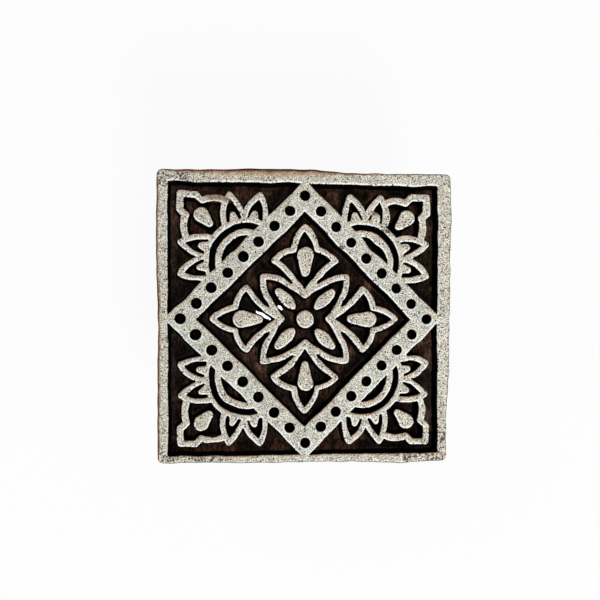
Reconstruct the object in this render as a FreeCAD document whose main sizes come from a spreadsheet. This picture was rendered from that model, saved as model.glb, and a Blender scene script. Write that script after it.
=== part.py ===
# Hand block for printing cloth: a square of sheesham with a traditional tile figure cut in relief,
# a coved grip on its back, and four nails driven through the grip into the block.
#
# Frame: +Z is the way the printing face looks, Z = 0 is the flat crown of the grip that the block
# stands on when it lies face up, and the Z axis runs through the middle of the figure.
# Lengths are in millimetres.
import FreeCAD, Part
import Sketcher
import math
import os

# Driving sizes. The outlines of the figure are the carver's drawing for a field 93 mm across, and
# field_scale below enlarges or reduces that drawing to the field that the block really has.
SIZES = {
    # the wooden blank
    "face_side": 100.0,
    "block_thick": 25.0,
    "relief_deep": 5.0,
    "border_wide": 3.5,
    "corner_round": 1.6,
    "back_bevel": 1.0,
    # lines and dots are as wide as the tools that cut them, whatever the size of the drawing
    "line_wide": 2.05,
    "canopy_line_wide": 2.4,
    "band_wide": 7.8,
    "dot_bore": 3.5,
    "dot_deep": 4.0,
    "dots_a_side": 8,
    # the drawing: the field it was made for, and the diamond that the dots stand on
    "drawn_half_field": 46.5,
    "diamond_reach": 42.43,
    # flower and boss in the middle
    "flower_waist": 8.2,
    "flower_tip": 14.4,
    "flower_arc": 18.4,
    "boss_radius": 3.1,
    # seed inside each petal, measured along the petal
    "seed_root": 5.4,
    "seed_root_half": 0.9,
    "seed_root_arc": 1.09,
    "seed_crown": 13.9,
    "seed_crown_half": 1.3,
    "seed_crown_arc": 1.68,
    "seed_flank_arc": 7.7,
    # four fleurons that point to the corners of the diamond
    "fleuron_barb_out": 10.6,
    "fleuron_barb_up": 19.9,
    "fleuron_notch_out": 4.0,
    "fleuron_notch_up": 23.7,
    "fleuron_tip": 31.6,
    "fleuron_flank_arc": 26.6,
    "fleuron_barb_arc": 9.0,
    "fleuron_tip_arc": 14.4,
    "fleuron_drop_round_up": 21.9,
    "fleuron_drop_round_radius": 2.9,
    "fleuron_drop_point_up": 15.85,
    "fleuron_drop_point_radius": 1.25,
    # half roundels on the outside of the band, struck from one centre
    "roundel_centre": 28.0,
    "roundel_radius": 14.8,
    "groove_outer": 12.95,
    "groove_inner": 11.0,
    "moon_radius": 8.7,
    # petals round each roundel: out is across the corner's diagonal, up is along it
    "low_root_out": 13.0,
    "low_root_up": 32.3,
    "low_tip_out": 18.95,
    "low_tip_up": 40.9,
    "low_heel_out": 8.1,
    "low_heel_up": 37.9,
    "low_outer_arc": 21.0,
    "low_inner_arc": 11.5,
    "high_root_out": 8.75,
    "high_root_up": 37.5,
    "high_tip_out": 11.5,
    "high_tip_up": 48.3,
    "high_heel_out": 2.5,
    "high_heel_up": 40.5,
    "high_outer_arc": 22.0,
    "high_inner_arc": 12.8,
    # tongue inside each of those petals, measured from the roundel's centre
    "low_tongue_angle": 54.0,
    "high_tongue_angle": 27.3,
    "tongue_tip_reach": 16.45,
    "tongue_tip_radius": 1.2,
    "tongue_root_reach": 14.0,
    "tongue_root_radius": 1.9,
    # canopy that fills each corner
    "canopy_heart": 36.8,
    "canopy_spring_out": 9.05,
    "canopy_spring_up": 47.5,
    "canopy_notch_out": 3.7,
    "canopy_notch_up": 53.5,
    "canopy_shoulder_out": 3.75,
    "canopy_shoulder_up": 56.2,
    "canopy_tip": 60.0,
    "canopy_side_arc": 9.1,
    "corner_drop_round_up": 50.05,
    "corner_drop_round_radius": 2.7,
    "corner_drop_point_up": 45.8,
    "corner_drop_point_radius": 1.25,
    # grip on the back
    "grip_long": 78.0,
    "grip_tall": 30.0,
    "grip_wide": 30.0,
    "grip_crown": 20.0,
    "grip_waist": 17.0,
    "crown_lip": 7.0,
    "foot_lip": 5.0,
    "grip_end_rake": 5.0,
    # nails
    "nail_shank": 2.8,
    "nail_head": 6.0,
    "nail_head_thick": 1.2,
    "nail_head_sunk": 0.6,
    "nail_point": 5.0,
    "nail_cover": 4.5,
    "nail_inset": 12.0,
    "nail_step": 6.0,
    "nail_stagger": 4.0,
    "nail_fit": 0.0,
}

# Derived lengths, as expressions on the sheet's cells
FIELD_HALF = "(Sizes.face_side / 2 - Sizes.border_wide)"
FIELD_SCALE = f"{FIELD_HALF} / Sizes.drawn_half_field"
FLOOR_LEVEL = "(Sizes.block_thick - Sizes.relief_deep)"
BAND_MIDDLE = f"Sizes.diamond_reach * {FIELD_SCALE} / sqrt(2)"
BAND_OUTER = f"({BAND_MIDDLE} + Sizes.band_wide / 2)"
BAND_INNER = f"({BAND_MIDDLE} - Sizes.band_wide / 2)"
NAIL_LONG = (
    f"(Sizes.grip_tall - Sizes.nail_head_sunk + {FLOOR_LEVEL} - Sizes.nail_cover)"
)
NAIL_BORE = "(Sizes.nail_shank + 2 * Sizes.nail_fit)"
HEAD_BORE = "(Sizes.nail_head + 2 * Sizes.nail_fit)"
HEAD_POCKET = "(Sizes.nail_head_sunk + Sizes.nail_head_thick)"

STRAIGHT = ""
DIAGONAL = -45.0  # turns a sketch so that its Y axis points at the corner of the face

doc = FreeCAD.newDocument("printing_block")
sheet = doc.addObject("Spreadsheet::Sheet", "Sizes")
for row, (alias, number) in enumerate(SIZES.items(), start=1):
    sheet.set(f"A{row}", str(number))
    sheet.setAlias(f"A{row}", alias)
doc.recompute()


def length(expression):
    """The present value of an expression on the sheet."""
    return float(sheet.evalExpression(expression))


def drawn(alias):
    """A length of the carver's drawing, at the scale of this block's field."""
    return f"Sizes.{alias} * {FIELD_SCALE}"


def minus(expression):
    return f"-({expression})"


def origin_feature(body, role):
    return next(f for f in body.Origin.OriginFeatures if f.Role == role)


def add_sketch(body, name, level="0", turn=0.0, plane="XY_Plane"):
    """An empty sketch on one of the body's own planes, raised to level and turned about its normal."""
    sketch = body.newObject("Sketcher::SketchObject", name)
    sketch.AttachmentSupport = [(origin_feature(body, plane), "")]
    sketch.MapMode = "FlatFace"
    turned = FreeCAD.Rotation(FreeCAD.Vector(0, 0, 1), turn)
    sketch.AttachmentOffset = FreeCAD.Placement(FreeCAD.Vector(), turned)
    sketch.setExpression("AttachmentOffset.Base.z", level)
    return sketch


def bind(sketch, constraint, expression):
    """Adds a constraint with a size and ties that size to the sheet."""
    number = sketch.addConstraint(constraint)
    label = f"size_{number}"
    sketch.renameConstraint(number, label)
    sketch.setExpression(f"Constraints.{label}", expression)


def place_point(sketch, edge, end, x, y):
    """Holds one end of an edge at x, y, which are expressions."""
    for axis, kind, where in ((-2, "DistanceX", x), (-1, "DistanceY", y)):
        if abs(length(where)) < 1e-9:
            sketch.addConstraint(Sketcher.Constraint("PointOnObject", edge, end, axis))
        else:
            held = Sketcher.Constraint(kind, -1, 1, edge, end, length(where))
            bind(sketch, held, where)


def arc_between(start, end, radius):
    """The short arc from start to end. Its centre is on the left of the way for a positive radius."""
    way = end - start
    left = FreeCAD.Vector(-way.y, way.x, 0).normalize()
    reach = abs(radius)
    rise = math.sqrt(reach**2 - (way.Length / 2) ** 2)
    side = math.copysign(1, radius)
    centre = (start + end) / 2 + left * rise * side
    middle = centre - left * reach * side
    return Part.Arc(start, middle, end)


def add_outline(sketch, corners, edges):
    """Closes a chain of corners, each a pair of expressions, with edges: STRAIGHT, or an arc's radius.
    Going round with the inside on the left, an arc bulges outwards, or inwards for a radius that
    starts with a minus sign."""
    points = [FreeCAD.Vector(length(x), length(y), 0) for x, y in corners]
    starts = []
    for number, edge in enumerate(edges):
        start, end = points[number], points[(number + 1) % len(points)]
        if edge == STRAIGHT:
            geometry = sketch.addGeometry(Part.LineSegment(start, end))
            starts.append((geometry, 1, 2))
            continue
        inwards = edge.startswith("-")
        geometry = sketch.addGeometry(arc_between(start, end, length(edge)))
        # an arc runs counter-clockwise, so one that bulges inwards ends where the chain enters it
        starts.append((geometry, 2, 1) if inwards else (geometry, 1, 2))
        radius = edge.lstrip("-")
        bind(
            sketch, Sketcher.Constraint("Radius", geometry, length(radius)), radius
        )
    for number, (geometry, entry, leaving) in enumerate(starts):
        following, next_entry, _ = starts[(number + 1) % len(starts)]
        sketch.addConstraint(
            Sketcher.Constraint("Coincident", geometry, leaving, following, next_entry)
        )
        place_point(sketch, geometry, entry, *corners[number])


def add_mirrored_outline(sketch, foot, side, head, edges):
    """An outline that is the same on both sides of the sketch's Y axis: foot and head are points on
    that axis, side is the corners from foot to head on the right, and edges are the right half's."""
    left = [(minus(x), y) for x, y in reversed(side)]
    add_outline(sketch, [foot, *side, head, *left], [*edges, *reversed(edges)])


def add_petal_pair(sketch, root, tip, heel, outer_arc, inner_arc):
    """A pointed petal and its mirror image: root and heel are hidden under the roundel."""
    add_outline(sketch, [root, tip, heel], [outer_arc, inner_arc, STRAIGHT])
    mirrored = [(minus(x), y) for x, y in (heel, tip, root)]
    add_outline(sketch, mirrored, [inner_arc, outer_arc, STRAIGHT])


def add_circle(sketch, x, y, diameter):
    centre = FreeCAD.Vector(length(x), length(y), 0)
    up = FreeCAD.Vector(0, 0, 1)
    geometry = sketch.addGeometry(Part.Circle(centre, up, length(diameter) / 2))
    bind(
        sketch, Sketcher.Constraint("Diameter", geometry, length(diameter)), diameter
    )
    place_point(sketch, geometry, 3, x, y)


def add_drop(sketch, round_end, round_radius, point_end, point_radius):
    """A tear drop: two circles, given by their centres and radii, in the hull that they share."""
    big, small = length(round_radius), length(point_radius)
    heavy = FreeCAD.Vector(length(round_end[0]), length(round_end[1]), 0)
    light = FreeCAD.Vector(length(point_end[0]), length(point_end[1]), 0)
    axis = light - heavy
    lean = math.acos((big - small) / axis.Length)
    heading = math.atan2(axis.y, axis.x)

    def rim(centre, radius, angle):
        return centre + FreeCAD.Vector(math.cos(angle), math.sin(angle), 0) * radius

    def cap(centre, radius, first, last):
        middle = rim(centre, radius, (first + last) / 2)
        return Part.Arc(rim(centre, radius, first), middle, rim(centre, radius, last))

    right, left = heading - lean, heading + lean
    light_cap = sketch.addGeometry(cap(light, small, right, left))
    left_side = sketch.addGeometry(
        Part.LineSegment(rim(light, small, left), rim(heavy, big, left))
    )
    heavy_cap = sketch.addGeometry(cap(heavy, big, left, right + 2 * math.pi))
    right_side = sketch.addGeometry(
        Part.LineSegment(rim(heavy, big, right), rim(light, small, right))
    )
    chain = [light_cap, left_side, heavy_cap, right_side]
    for edge, following in zip(chain, chain[1:] + chain[:1]):
        sketch.addConstraint(Sketcher.Constraint("Tangent", edge, 2, following, 1))
    for edge, centre, radius in (
        (light_cap, point_end, point_radius),
        (heavy_cap, round_end, round_radius),
    ):
        place_point(sketch, edge, 3, *centre)
        bind(sketch, Sketcher.Constraint("Radius", edge, length(radius)), radius)


def add_pad(body, name, profile, height):
    pad = body.newObject("PartDesign::Pad", name)
    pad.Profile = profile
    pad.setExpression("Length", height)
    doc.recompute()
    return pad


def add_pocket(body, name, profile, depth, upwards=False):
    """Cuts to depth below the sketch, or above it, and makes sure that wood came away."""
    before = body.Shape.Volume
    pocket = body.newObject("PartDesign::Pocket", name)
    pocket.Profile = profile
    pocket.Reversed = upwards
    pocket.setExpression("Length", depth)
    doc.recompute()
    if pocket.Shape.Volume > before - 0.01:
        raise RuntimeError(f"{name} cuts nothing")
    return pocket


def stroke_side(body, name, sketch, offset):
    """The area inside an outline that lies offset outside, or inside, the drawn line."""
    side = body.newObject("PartDesign::SubShapeBinder", name)
    side.Support = [(sketch, ("",))]
    side.MakeFace = True
    side.setExpression("Offset", offset)
    doc.recompute()
    return side


def raise_outline(body, name, sketch, line="Sizes.line_wide"):
    """Wood left standing over the whole of an outline, half a line past the drawn line."""
    side = stroke_side(body, f"{name}_outside", sketch, f"{line} / 2")
    return add_pad(body, f"{name}_wood", side, "Sizes.relief_deep")


def hollow_outline(body, name, sketch, line="Sizes.line_wide"):
    """The ground cut inside an outline, which leaves a line of wood round it."""
    side = stroke_side(body, f"{name}_inside", sketch, f"-{line} / 2")
    return cut_relief(body, f"{name}_ground", side)


def raise_relief(body, name, sketch):
    """Wood left standing over a sketch on the ground."""
    return add_pad(body, name, sketch, "Sizes.relief_deep")


def cut_relief(body, name, sketch):
    """Ground cut again over a sketch on the ground."""
    return add_pocket(body, name, sketch, "Sizes.relief_deep", upwards=True)


def repeat_four_times(body, name, features):
    """The same features at each quarter turn."""
    ring = body.newObject("PartDesign::PolarPattern", name)
    ring.Originals = features
    ring.Axis = (origin_feature(body, "Z_Axis"), [""])
    ring.Angle = 360
    ring.Occurrences = 4
    body.Tip = ring
    doc.recompute()
    return ring


def add_square(sketch, half):
    corners = [(minus(half), minus(half)), (half, minus(half))]
    corners += [(half, half), (minus(half), half)]
    add_outline(sketch, corners, [STRAIGHT] * 4)


def upright_edges(shape):
    """Names of the straight edges that run along Z."""
    names = []
    for number, edge in enumerate(shape.Edges, start=1):
        way = edge.Vertexes[-1].Point - edge.Vertexes[0].Point
        if way.Length > 1e-6 and abs(way.z) > 0.999 * way.Length:
            names.append(f"Edge{number}")
    return names


def edges_at_level(shape, level):
    """Names of the edges that lie flat at a level."""
    names = []
    for number, edge in enumerate(shape.Edges, start=1):
        box = edge.BoundBox
        if abs(box.ZMin - level) < 1e-6 and abs(box.ZMax - level) < 1e-6:
            names.append(f"Edge{number}")
    return names


def nail_places():
    """Where the nails stand, as name, x and y: two near each end of the grip, out of line, so that
    no two nails wedge the same grain."""
    outer = "(Sizes.grip_long / 2 - Sizes.nail_inset)"
    inner = f"({outer} - Sizes.nail_step)"
    aside = "Sizes.nail_stagger"
    return [
        ("nail_right_outer", outer, aside),
        ("nail_right_inner", inner, minus(aside)),
        ("nail_left_outer", minus(outer), aside),
        ("nail_left_inner", minus(inner), minus(aside)),
    ]


def cut_blank(body):
    """A planed square of wood with eased corners, and the field sunk inside its border."""
    outline = add_sketch(body, "blank_outline")
    add_square(outline, "Sizes.face_side / 2")
    blank = add_pad(body, "blank", outline, "Sizes.block_thick")
    rounds = body.newObject("PartDesign::Fillet", "corner_rounds")
    rounds.Base = (blank, upright_edges(blank.Shape))
    rounds.setExpression("Radius", "Sizes.corner_round")
    doc.recompute()
    bevel = body.newObject("PartDesign::Chamfer", "back_bevel")
    bevel.Base = (rounds, edges_at_level(rounds.Shape, 0.0))
    bevel.setExpression("Size", "Sizes.back_bevel")
    doc.recompute()
    field = add_sketch(body, "field_outline", FLOOR_LEVEL)
    add_square(field, FIELD_HALF)
    cut_relief(body, "field", field)


def carve_canopy(body):
    """The canopy in the corner: a line that springs from the upper petals and closes in a square tip."""
    sketch = add_sketch(body, "canopy_line", FLOOR_LEVEL, DIAGONAL)
    add_mirrored_outline(
        sketch,
        ("0", drawn("canopy_heart")),
        [
            (drawn("canopy_spring_out"), drawn("canopy_spring_up")),
            (drawn("canopy_notch_out"), drawn("canopy_notch_up")),
            (drawn("canopy_shoulder_out"), drawn("canopy_shoulder_up")),
        ],
        ("0", drawn("canopy_tip")),
        [STRAIGHT, drawn("canopy_side_arc"), STRAIGHT, STRAIGHT],
    )
    line = "Sizes.canopy_line_wide"
    return [
        raise_outline(body, "canopy", sketch, line),
        hollow_outline(body, "canopy", sketch, line),
    ]


def carve_petals(body):
    """The two petals on each side of a roundel. Both are raised before either is hollowed, because
    their lines run together at the root."""
    sketches = []
    for place in ("low", "high"):
        sketch = add_sketch(body, f"{place}_petal_line", FLOOR_LEVEL, DIAGONAL)
        add_petal_pair(
            sketch,
            (drawn(f"{place}_root_out"), drawn(f"{place}_root_up")),
            (drawn(f"{place}_tip_out"), drawn(f"{place}_tip_up")),
            (drawn(f"{place}_heel_out"), drawn(f"{place}_heel_up")),
            drawn(f"{place}_outer_arc"),
            drawn(f"{place}_inner_arc"),
        )
        sketches.append((f"{place}_petal", sketch))
    raised = [raise_outline(body, name, sketch) for name, sketch in sketches]
    hollowed = [hollow_outline(body, name, sketch) for name, sketch in sketches]
    return raised + hollowed


def add_half_disc(sketch, radius):
    """A disc about the roundel's centre, down to the outer edge of the band."""
    centre = drawn("roundel_centre")
    reach = length(radius)
    height = length(BAND_OUTER) - length(centre)
    half = math.sqrt(reach**2 - height**2)
    low = length(BAND_OUTER)
    right, left = FreeCAD.Vector(half, low, 0), FreeCAD.Vector(-half, low, 0)
    top = FreeCAD.Vector(0, length(centre) + reach, 0)
    arc = sketch.addGeometry(Part.Arc(right, top, left))
    chord = sketch.addGeometry(Part.LineSegment(left, right))
    sketch.addConstraint(Sketcher.Constraint("Coincident", arc, 2, chord, 1))
    sketch.addConstraint(Sketcher.Constraint("Coincident", arc, 1, chord, 2))
    sketch.addConstraint(Sketcher.Constraint("Horizontal", chord))
    bind(sketch, Sketcher.Constraint("Radius", arc, reach), radius)
    place_point(sketch, arc, 3, "0", centre)
    bind(
        sketch, Sketcher.Constraint("DistanceY", -1, 1, chord, 1, low), BAND_OUTER
    )


def add_groove(sketch, outer_radius, inner_radius):
    """A curved groove about the roundel's centre, with straight ends along the band's outer edge."""
    centre, base = drawn("roundel_centre"), BAND_OUTER
    arcs = []
    for radius in (outer_radius, inner_radius):
        crown = FreeCAD.Vector(0, length(centre) + length(radius), 0)
        half = math.sqrt(length(radius) ** 2 - (length(base) - length(centre)) ** 2)
        right = FreeCAD.Vector(half, length(base), 0)
        left = FreeCAD.Vector(-half, length(base), 0)
        arcs.append(sketch.addGeometry(Part.Arc(right, crown, left)))
        bind(
            sketch, Sketcher.Constraint("Radius", arcs[-1], length(radius)), radius
        )
        place_point(sketch, arcs[-1], 3, "0", centre)
    outer, inner = [sketch.Geometry[arc] for arc in arcs]
    for end, inner_point, outer_point in (
        (1, inner.StartPoint, outer.StartPoint),
        (2, inner.EndPoint, outer.EndPoint),
    ):
        straight = sketch.addGeometry(Part.LineSegment(inner_point, outer_point))
        for line_end, arc in ((1, arcs[1]), (2, arcs[0])):
            sketch.addConstraint(
                Sketcher.Constraint("Coincident", straight, line_end, arc, end)
            )
        sketch.addConstraint(Sketcher.Constraint("Horizontal", straight))
        held = Sketcher.Constraint("DistanceY", -1, 1, straight, 1, length(base))
        bind(sketch, held, base)


def raise_roundel(body):
    """The half roundel that the petals stand on, and the tongue inside each petal."""
    sketch = add_sketch(body, "roundel_outline", FLOOR_LEVEL, DIAGONAL)
    add_half_disc(sketch, drawn("roundel_radius"))
    features = [raise_relief(body, "roundel", sketch)]
    centre = drawn("roundel_centre")
    for place in ("low", "high"):
        sketch = add_sketch(body, f"{place}_tongue_outline", FLOOR_LEVEL, DIAGONAL)
        for side in ("", "-"):
            lean = f"({side}Sizes.{place}_tongue_angle * 1deg)"
            ends = [
                (f"{drawn(reach)} * sin{lean}", f"{centre} + {drawn(reach)} * cos{lean}")
                for reach in ("tongue_root_reach", "tongue_tip_reach")
            ]
            add_drop(
                sketch,
                ends[0],
                drawn("tongue_root_radius"),
                ends[1],
                drawn("tongue_tip_radius"),
            )
        features.append(raise_relief(body, f"{place}_tongue", sketch))
    return features


def groove_roundel(body):
    """The curved groove in the roundel and the half moon inside it, both stopped by the band."""
    moon = add_sketch(body, "moon_outline", FLOOR_LEVEL, DIAGONAL)
    add_half_disc(moon, drawn("moon_radius"))
    groove = add_sketch(body, "groove_outline", FLOOR_LEVEL, DIAGONAL)
    add_groove(groove, drawn("groove_outer"), drawn("groove_inner"))
    return [cut_relief(body, "moon", moon), cut_relief(body, "groove", groove)]


def raise_drop(body, name, turn):
    """A tear drop that stands free on the ground, round end outwards."""
    sketch = add_sketch(body, f"{name}_outline", FLOOR_LEVEL, turn)
    add_drop(
        sketch,
        ("0", drawn(f"{name}_round_up")),
        drawn(f"{name}_round_radius"),
        ("0", drawn(f"{name}_point_up")),
        drawn(f"{name}_point_radius"),
    )
    return raise_relief(body, name, sketch)


def carve_corners(body):
    """The whole figure of one corner, then the same at the other three."""
    features = carve_canopy(body)
    features += carve_petals(body)
    features += raise_roundel(body)
    features += groove_roundel(body)
    features.append(raise_drop(body, "corner_drop", DIAGONAL))
    repeat_four_times(body, "corner_figures", features)


def raise_band(body):
    """The square band that stands on its corner and reaches into the border."""
    sketch = add_sketch(body, "band_outline", FLOOR_LEVEL, DIAGONAL)
    add_square(sketch, BAND_OUTER)
    add_square(sketch, BAND_INNER)
    raise_relief(body, "band", sketch)


def carve_fleurons(body):
    """The four fleurons, each a line with two barbs and a point, round a tear drop."""
    sketch = add_sketch(body, "fleuron_line", FLOOR_LEVEL)
    add_mirrored_outline(
        sketch,
        ("0", drawn("flower_waist")),
        [
            (drawn("fleuron_barb_out"), drawn("fleuron_barb_up")),
            (drawn("fleuron_notch_out"), drawn("fleuron_notch_up")),
        ],
        ("0", drawn("fleuron_tip")),
        [
            minus(drawn("fleuron_flank_arc")),
            drawn("fleuron_barb_arc"),
            drawn("fleuron_tip_arc"),
        ],
    )
    features = [
        raise_outline(body, "fleuron", sketch),
        hollow_outline(body, "fleuron", sketch),
        raise_drop(body, "fleuron_drop", 0.0),
    ]
    repeat_four_times(body, "fleurons", features)


def carve_flower(body):
    """The flower in the middle: one line round four pointed petals."""
    sketch = add_sketch(body, "flower_line", FLOOR_LEVEL)
    waist, tip = drawn("flower_waist"), drawn("flower_tip")
    corners = [
        (waist, "0"),
        (tip, tip),
        ("0", waist),
        (minus(tip), tip),
        (minus(waist), "0"),
        (minus(tip), minus(tip)),
        ("0", minus(waist)),
        (tip, minus(tip)),
    ]
    add_outline(sketch, corners, [drawn("flower_arc")] * len(corners))
    raise_outline(body, "flower", sketch)
    hollow_outline(body, "flower", sketch)


def raise_seeds(body):
    """An almond-shaped seed inside each petal of the flower, and the boss between them."""
    sketch = add_sketch(body, "seed_outline", FLOOR_LEVEL, DIAGONAL)
    root, root_half = drawn("seed_root"), drawn("seed_root_half")
    crown, crown_half = drawn("seed_crown"), drawn("seed_crown_half")
    add_outline(
        sketch,
        [
            (minus(root_half), root),
            (root_half, root),
            (crown_half, crown),
            (minus(crown_half), crown),
        ],
        [
            drawn("seed_root_arc"),
            drawn("seed_flank_arc"),
            drawn("seed_crown_arc"),
            drawn("seed_flank_arc"),
        ],
    )
    repeat_four_times(body, "seeds", [raise_relief(body, "seed", sketch)])
    sketch = add_sketch(body, "boss_outline", FLOOR_LEVEL)
    add_circle(sketch, "0", "0", f"2 * {drawn('boss_radius')}")
    raise_relief(body, "boss", sketch)


def drill_dots(body):
    """Blind holes along the middle of the band, one at each corner and the rest evenly between."""
    sketch = add_sketch(body, "dot_outline", "Sizes.block_thick", DIAGONAL)
    add_circle(sketch, minus(BAND_MIDDLE), BAND_MIDDLE, "Sizes.dot_bore")
    dot = add_pocket(body, "dot", sketch, "Sizes.dot_deep")
    row = body.newObject("PartDesign::MultiTransform", "dots")
    along = body.newObject("PartDesign::LinearPattern", "dots_along_a_side")
    along.Direction = (sketch, ["H_Axis"])
    along.setExpression("Occurrences", "Sizes.dots_a_side")
    along.setExpression(
        "Length",
        f"2 * {BAND_MIDDLE} * (Sizes.dots_a_side - 1) / Sizes.dots_a_side",
    )
    around = body.newObject("PartDesign::PolarPattern", "dots_round_the_sides")
    around.Axis = (origin_feature(body, "Z_Axis"), [""])
    around.Angle = 360
    around.Occurrences = 4
    row.Originals = [dot]
    row.Transformations = [along, around]
    body.Tip = row
    doc.recompute()


def bore_for_nails(body, name, level, diameter, depth):
    """One hole for each nail, from a level upwards."""
    sketch = add_sketch(body, f"{name}_outline", level)
    for _, x, y in nail_places():
        add_circle(sketch, x, y, diameter)
    add_pocket(body, name, sketch, depth, upwards=True)


def make_carved_block():
    """The block, modelled with its back at its own Z = 0 and set on top of the grip."""
    body = doc.addObject("PartDesign::Body", "carved_block")
    body.setExpression("Placement.Base.z", "Sizes.grip_tall")
    cut_blank(body)
    carve_corners(body)
    raise_band(body)
    carve_flower(body)
    carve_fleurons(body)
    raise_seeds(body)
    drill_dots(body)
    bore_for_nails(
        body,
        "nail_bores",
        "0",
        NAIL_BORE,
        f"{FLOOR_LEVEL} - Sizes.nail_cover",
    )
    return body


def make_grip():
    """The grip: a bar with a cove down each side for the fingers and raked ends."""
    body = doc.addObject("PartDesign::Body", "grip")
    side = add_sketch(body, "grip_section", plane="YZ_Plane")
    crown, half = "Sizes.grip_crown / 2", "Sizes.grip_wide / 2"
    edge_arc = "(Sizes.grip_wide - Sizes.grip_crown) / 2"
    right = [(crown, "0"), (half, edge_arc), (half, "Sizes.grip_tall")]
    left = [(minus(x), y) for x, y in reversed(right)]
    half_edges = [edge_arc, STRAIGHT]
    add_outline(
        side, right + left, half_edges + [STRAIGHT] + half_edges[::-1] + [STRAIGHT]
    )
    bar = body.newObject("PartDesign::Pad", "grip_bar")
    bar.Profile = side
    bar.Midplane = True
    bar.setExpression("Length", "Sizes.grip_long")
    doc.recompute()
    cut_finger_coves(body)
    rake_grip_ends(body)
    bore_for_nails(body, "shank_bores", "0", NAIL_BORE, "Sizes.grip_tall")
    bore_for_nails(body, "head_bores", "0", HEAD_BORE, HEAD_POCKET)
    return body


def cut_finger_coves(body):
    """A round cove down each side, between the two lips and as deep as leaves the waist standing."""
    coves = add_sketch(body, "cove_outline", plane="YZ_Plane")
    half_tall = "((Sizes.grip_tall - Sizes.crown_lip - Sizes.foot_lip) / 2)"
    deep = "((Sizes.grip_wide - Sizes.grip_waist) / 2)"
    radius = f"(({half_tall} ^ 2 + {deep} ^ 2) / (2 * {deep}))"
    out = f"(Sizes.grip_waist / 2 + {radius})"
    for centre in (out, minus(out)):
        add_circle(coves, centre, f"(Sizes.crown_lip + {half_tall})", f"2 * {radius}")
    before = body.Shape.Volume
    cut = body.newObject("PartDesign::Pocket", "finger_coves")
    cut.Profile = coves
    cut.Midplane = True
    cut.setExpression("Length", "2 * Sizes.grip_long")
    doc.recompute()
    if cut.Shape.Volume > before - 0.01:
        raise RuntimeError("finger_coves cut nothing")


def rake_grip_ends(body):
    """Each end slopes in towards the crown, so that the foot is the longest part of the bar."""
    ends = add_sketch(body, "end_rake", plane="XZ_Plane")
    end, tall = "Sizes.grip_long / 2", "Sizes.grip_tall"
    inner = "(Sizes.grip_long / 2 - Sizes.grip_end_rake)"
    foot = "(Sizes.grip_tall - Sizes.foot_lip)"
    add_outline(ends, [(inner, "0"), (end, "0"), (end, foot)], [STRAIGHT] * 3)
    mirrored = [(minus(end), foot), (minus(end), "0"), (minus(inner), "0")]
    add_outline(ends, mirrored, [STRAIGHT] * 3)
    rake = body.newObject("PartDesign::Pocket", "end_rakes")
    rake.Profile = ends
    rake.Midplane = True
    rake.setExpression("Length", "2 * Sizes.grip_wide")
    doc.recompute()


def make_nail(name, x, y):
    """A wire nail, turned about its own axis and driven upwards: its head is let into the crown of
    the grip and its point stops short of the carved ground."""
    body = doc.addObject("PartDesign::Body", name)
    body.setExpression("Placement.Base.x", x)
    body.setExpression("Placement.Base.y", y)
    body.setExpression("Placement.Base.z", "Sizes.nail_head_sunk")
    profile = add_sketch(body, f"{name}_profile", plane="XZ_Plane")
    head, shank = "Sizes.nail_head / 2", "Sizes.nail_shank / 2"
    under_head = "Sizes.nail_head_thick"
    shoulder = f"({NAIL_LONG} - Sizes.nail_point)"
    corners = [
        ("0", "0"),
        (head, "0"),
        (head, under_head),
        (shank, under_head),
        (shank, shoulder),
        ("0", NAIL_LONG),
    ]
    add_outline(profile, corners, [STRAIGHT] * len(corners))
    turned = body.newObject("PartDesign::Revolution", f"{name}_turned")
    turned.Profile = profile
    turned.ReferenceAxis = (profile, ["V_Axis"])
    turned.Angle = 360
    doc.recompute()
    return body


parts = [make_carved_block(), make_grip()]
parts += [make_nail(*place) for place in nail_places()]
doc.recompute()

for item in doc.Objects:
    if "Invalid" in item.State or "Error" in item.State:
        raise RuntimeError(f"{item.Label} failed: {item.State}")

os.makedirs("parts", exist_ok=True)
for part in parts:
    shape = part.Shape
    if shape.isNull() or not shape.isValid() or not shape.Solids:
        raise RuntimeError(f"{part.Label} has no valid solid")
    shape.exportStep(os.path.join("parts", f"{part.Label}.step"))
    box = shape.BoundBox
    print(
        f"{part.Label}: {len(shape.Solids)} solid, {shape.Volume:.1f} mm3,"
        f" Z {box.ZMin:.2f} to {box.ZMax:.2f}"
    )
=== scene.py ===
# %% [markdown]
# # A carved wooden block for printing cloth
#
# The real block is a square of sheesham, about 100 mm a side, with a tile figure cut in relief on
# one face. A grip is nailed to its back. The carver whitens the planed face with chalk before
# drawing on it, so the raised figure stays pale, and the ground between is dark with oil and
# colour.
#
# The frame comes first: the packed model gives every size and place, and each piece made below
# stands where its own node stands. The box is printed here, and the end prints the box again.

# %% The frame
import math

import bmesh
import bpy
import numpy as np
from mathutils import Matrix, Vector
from mathutils.geometry import delaunay_2d_cdt


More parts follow.
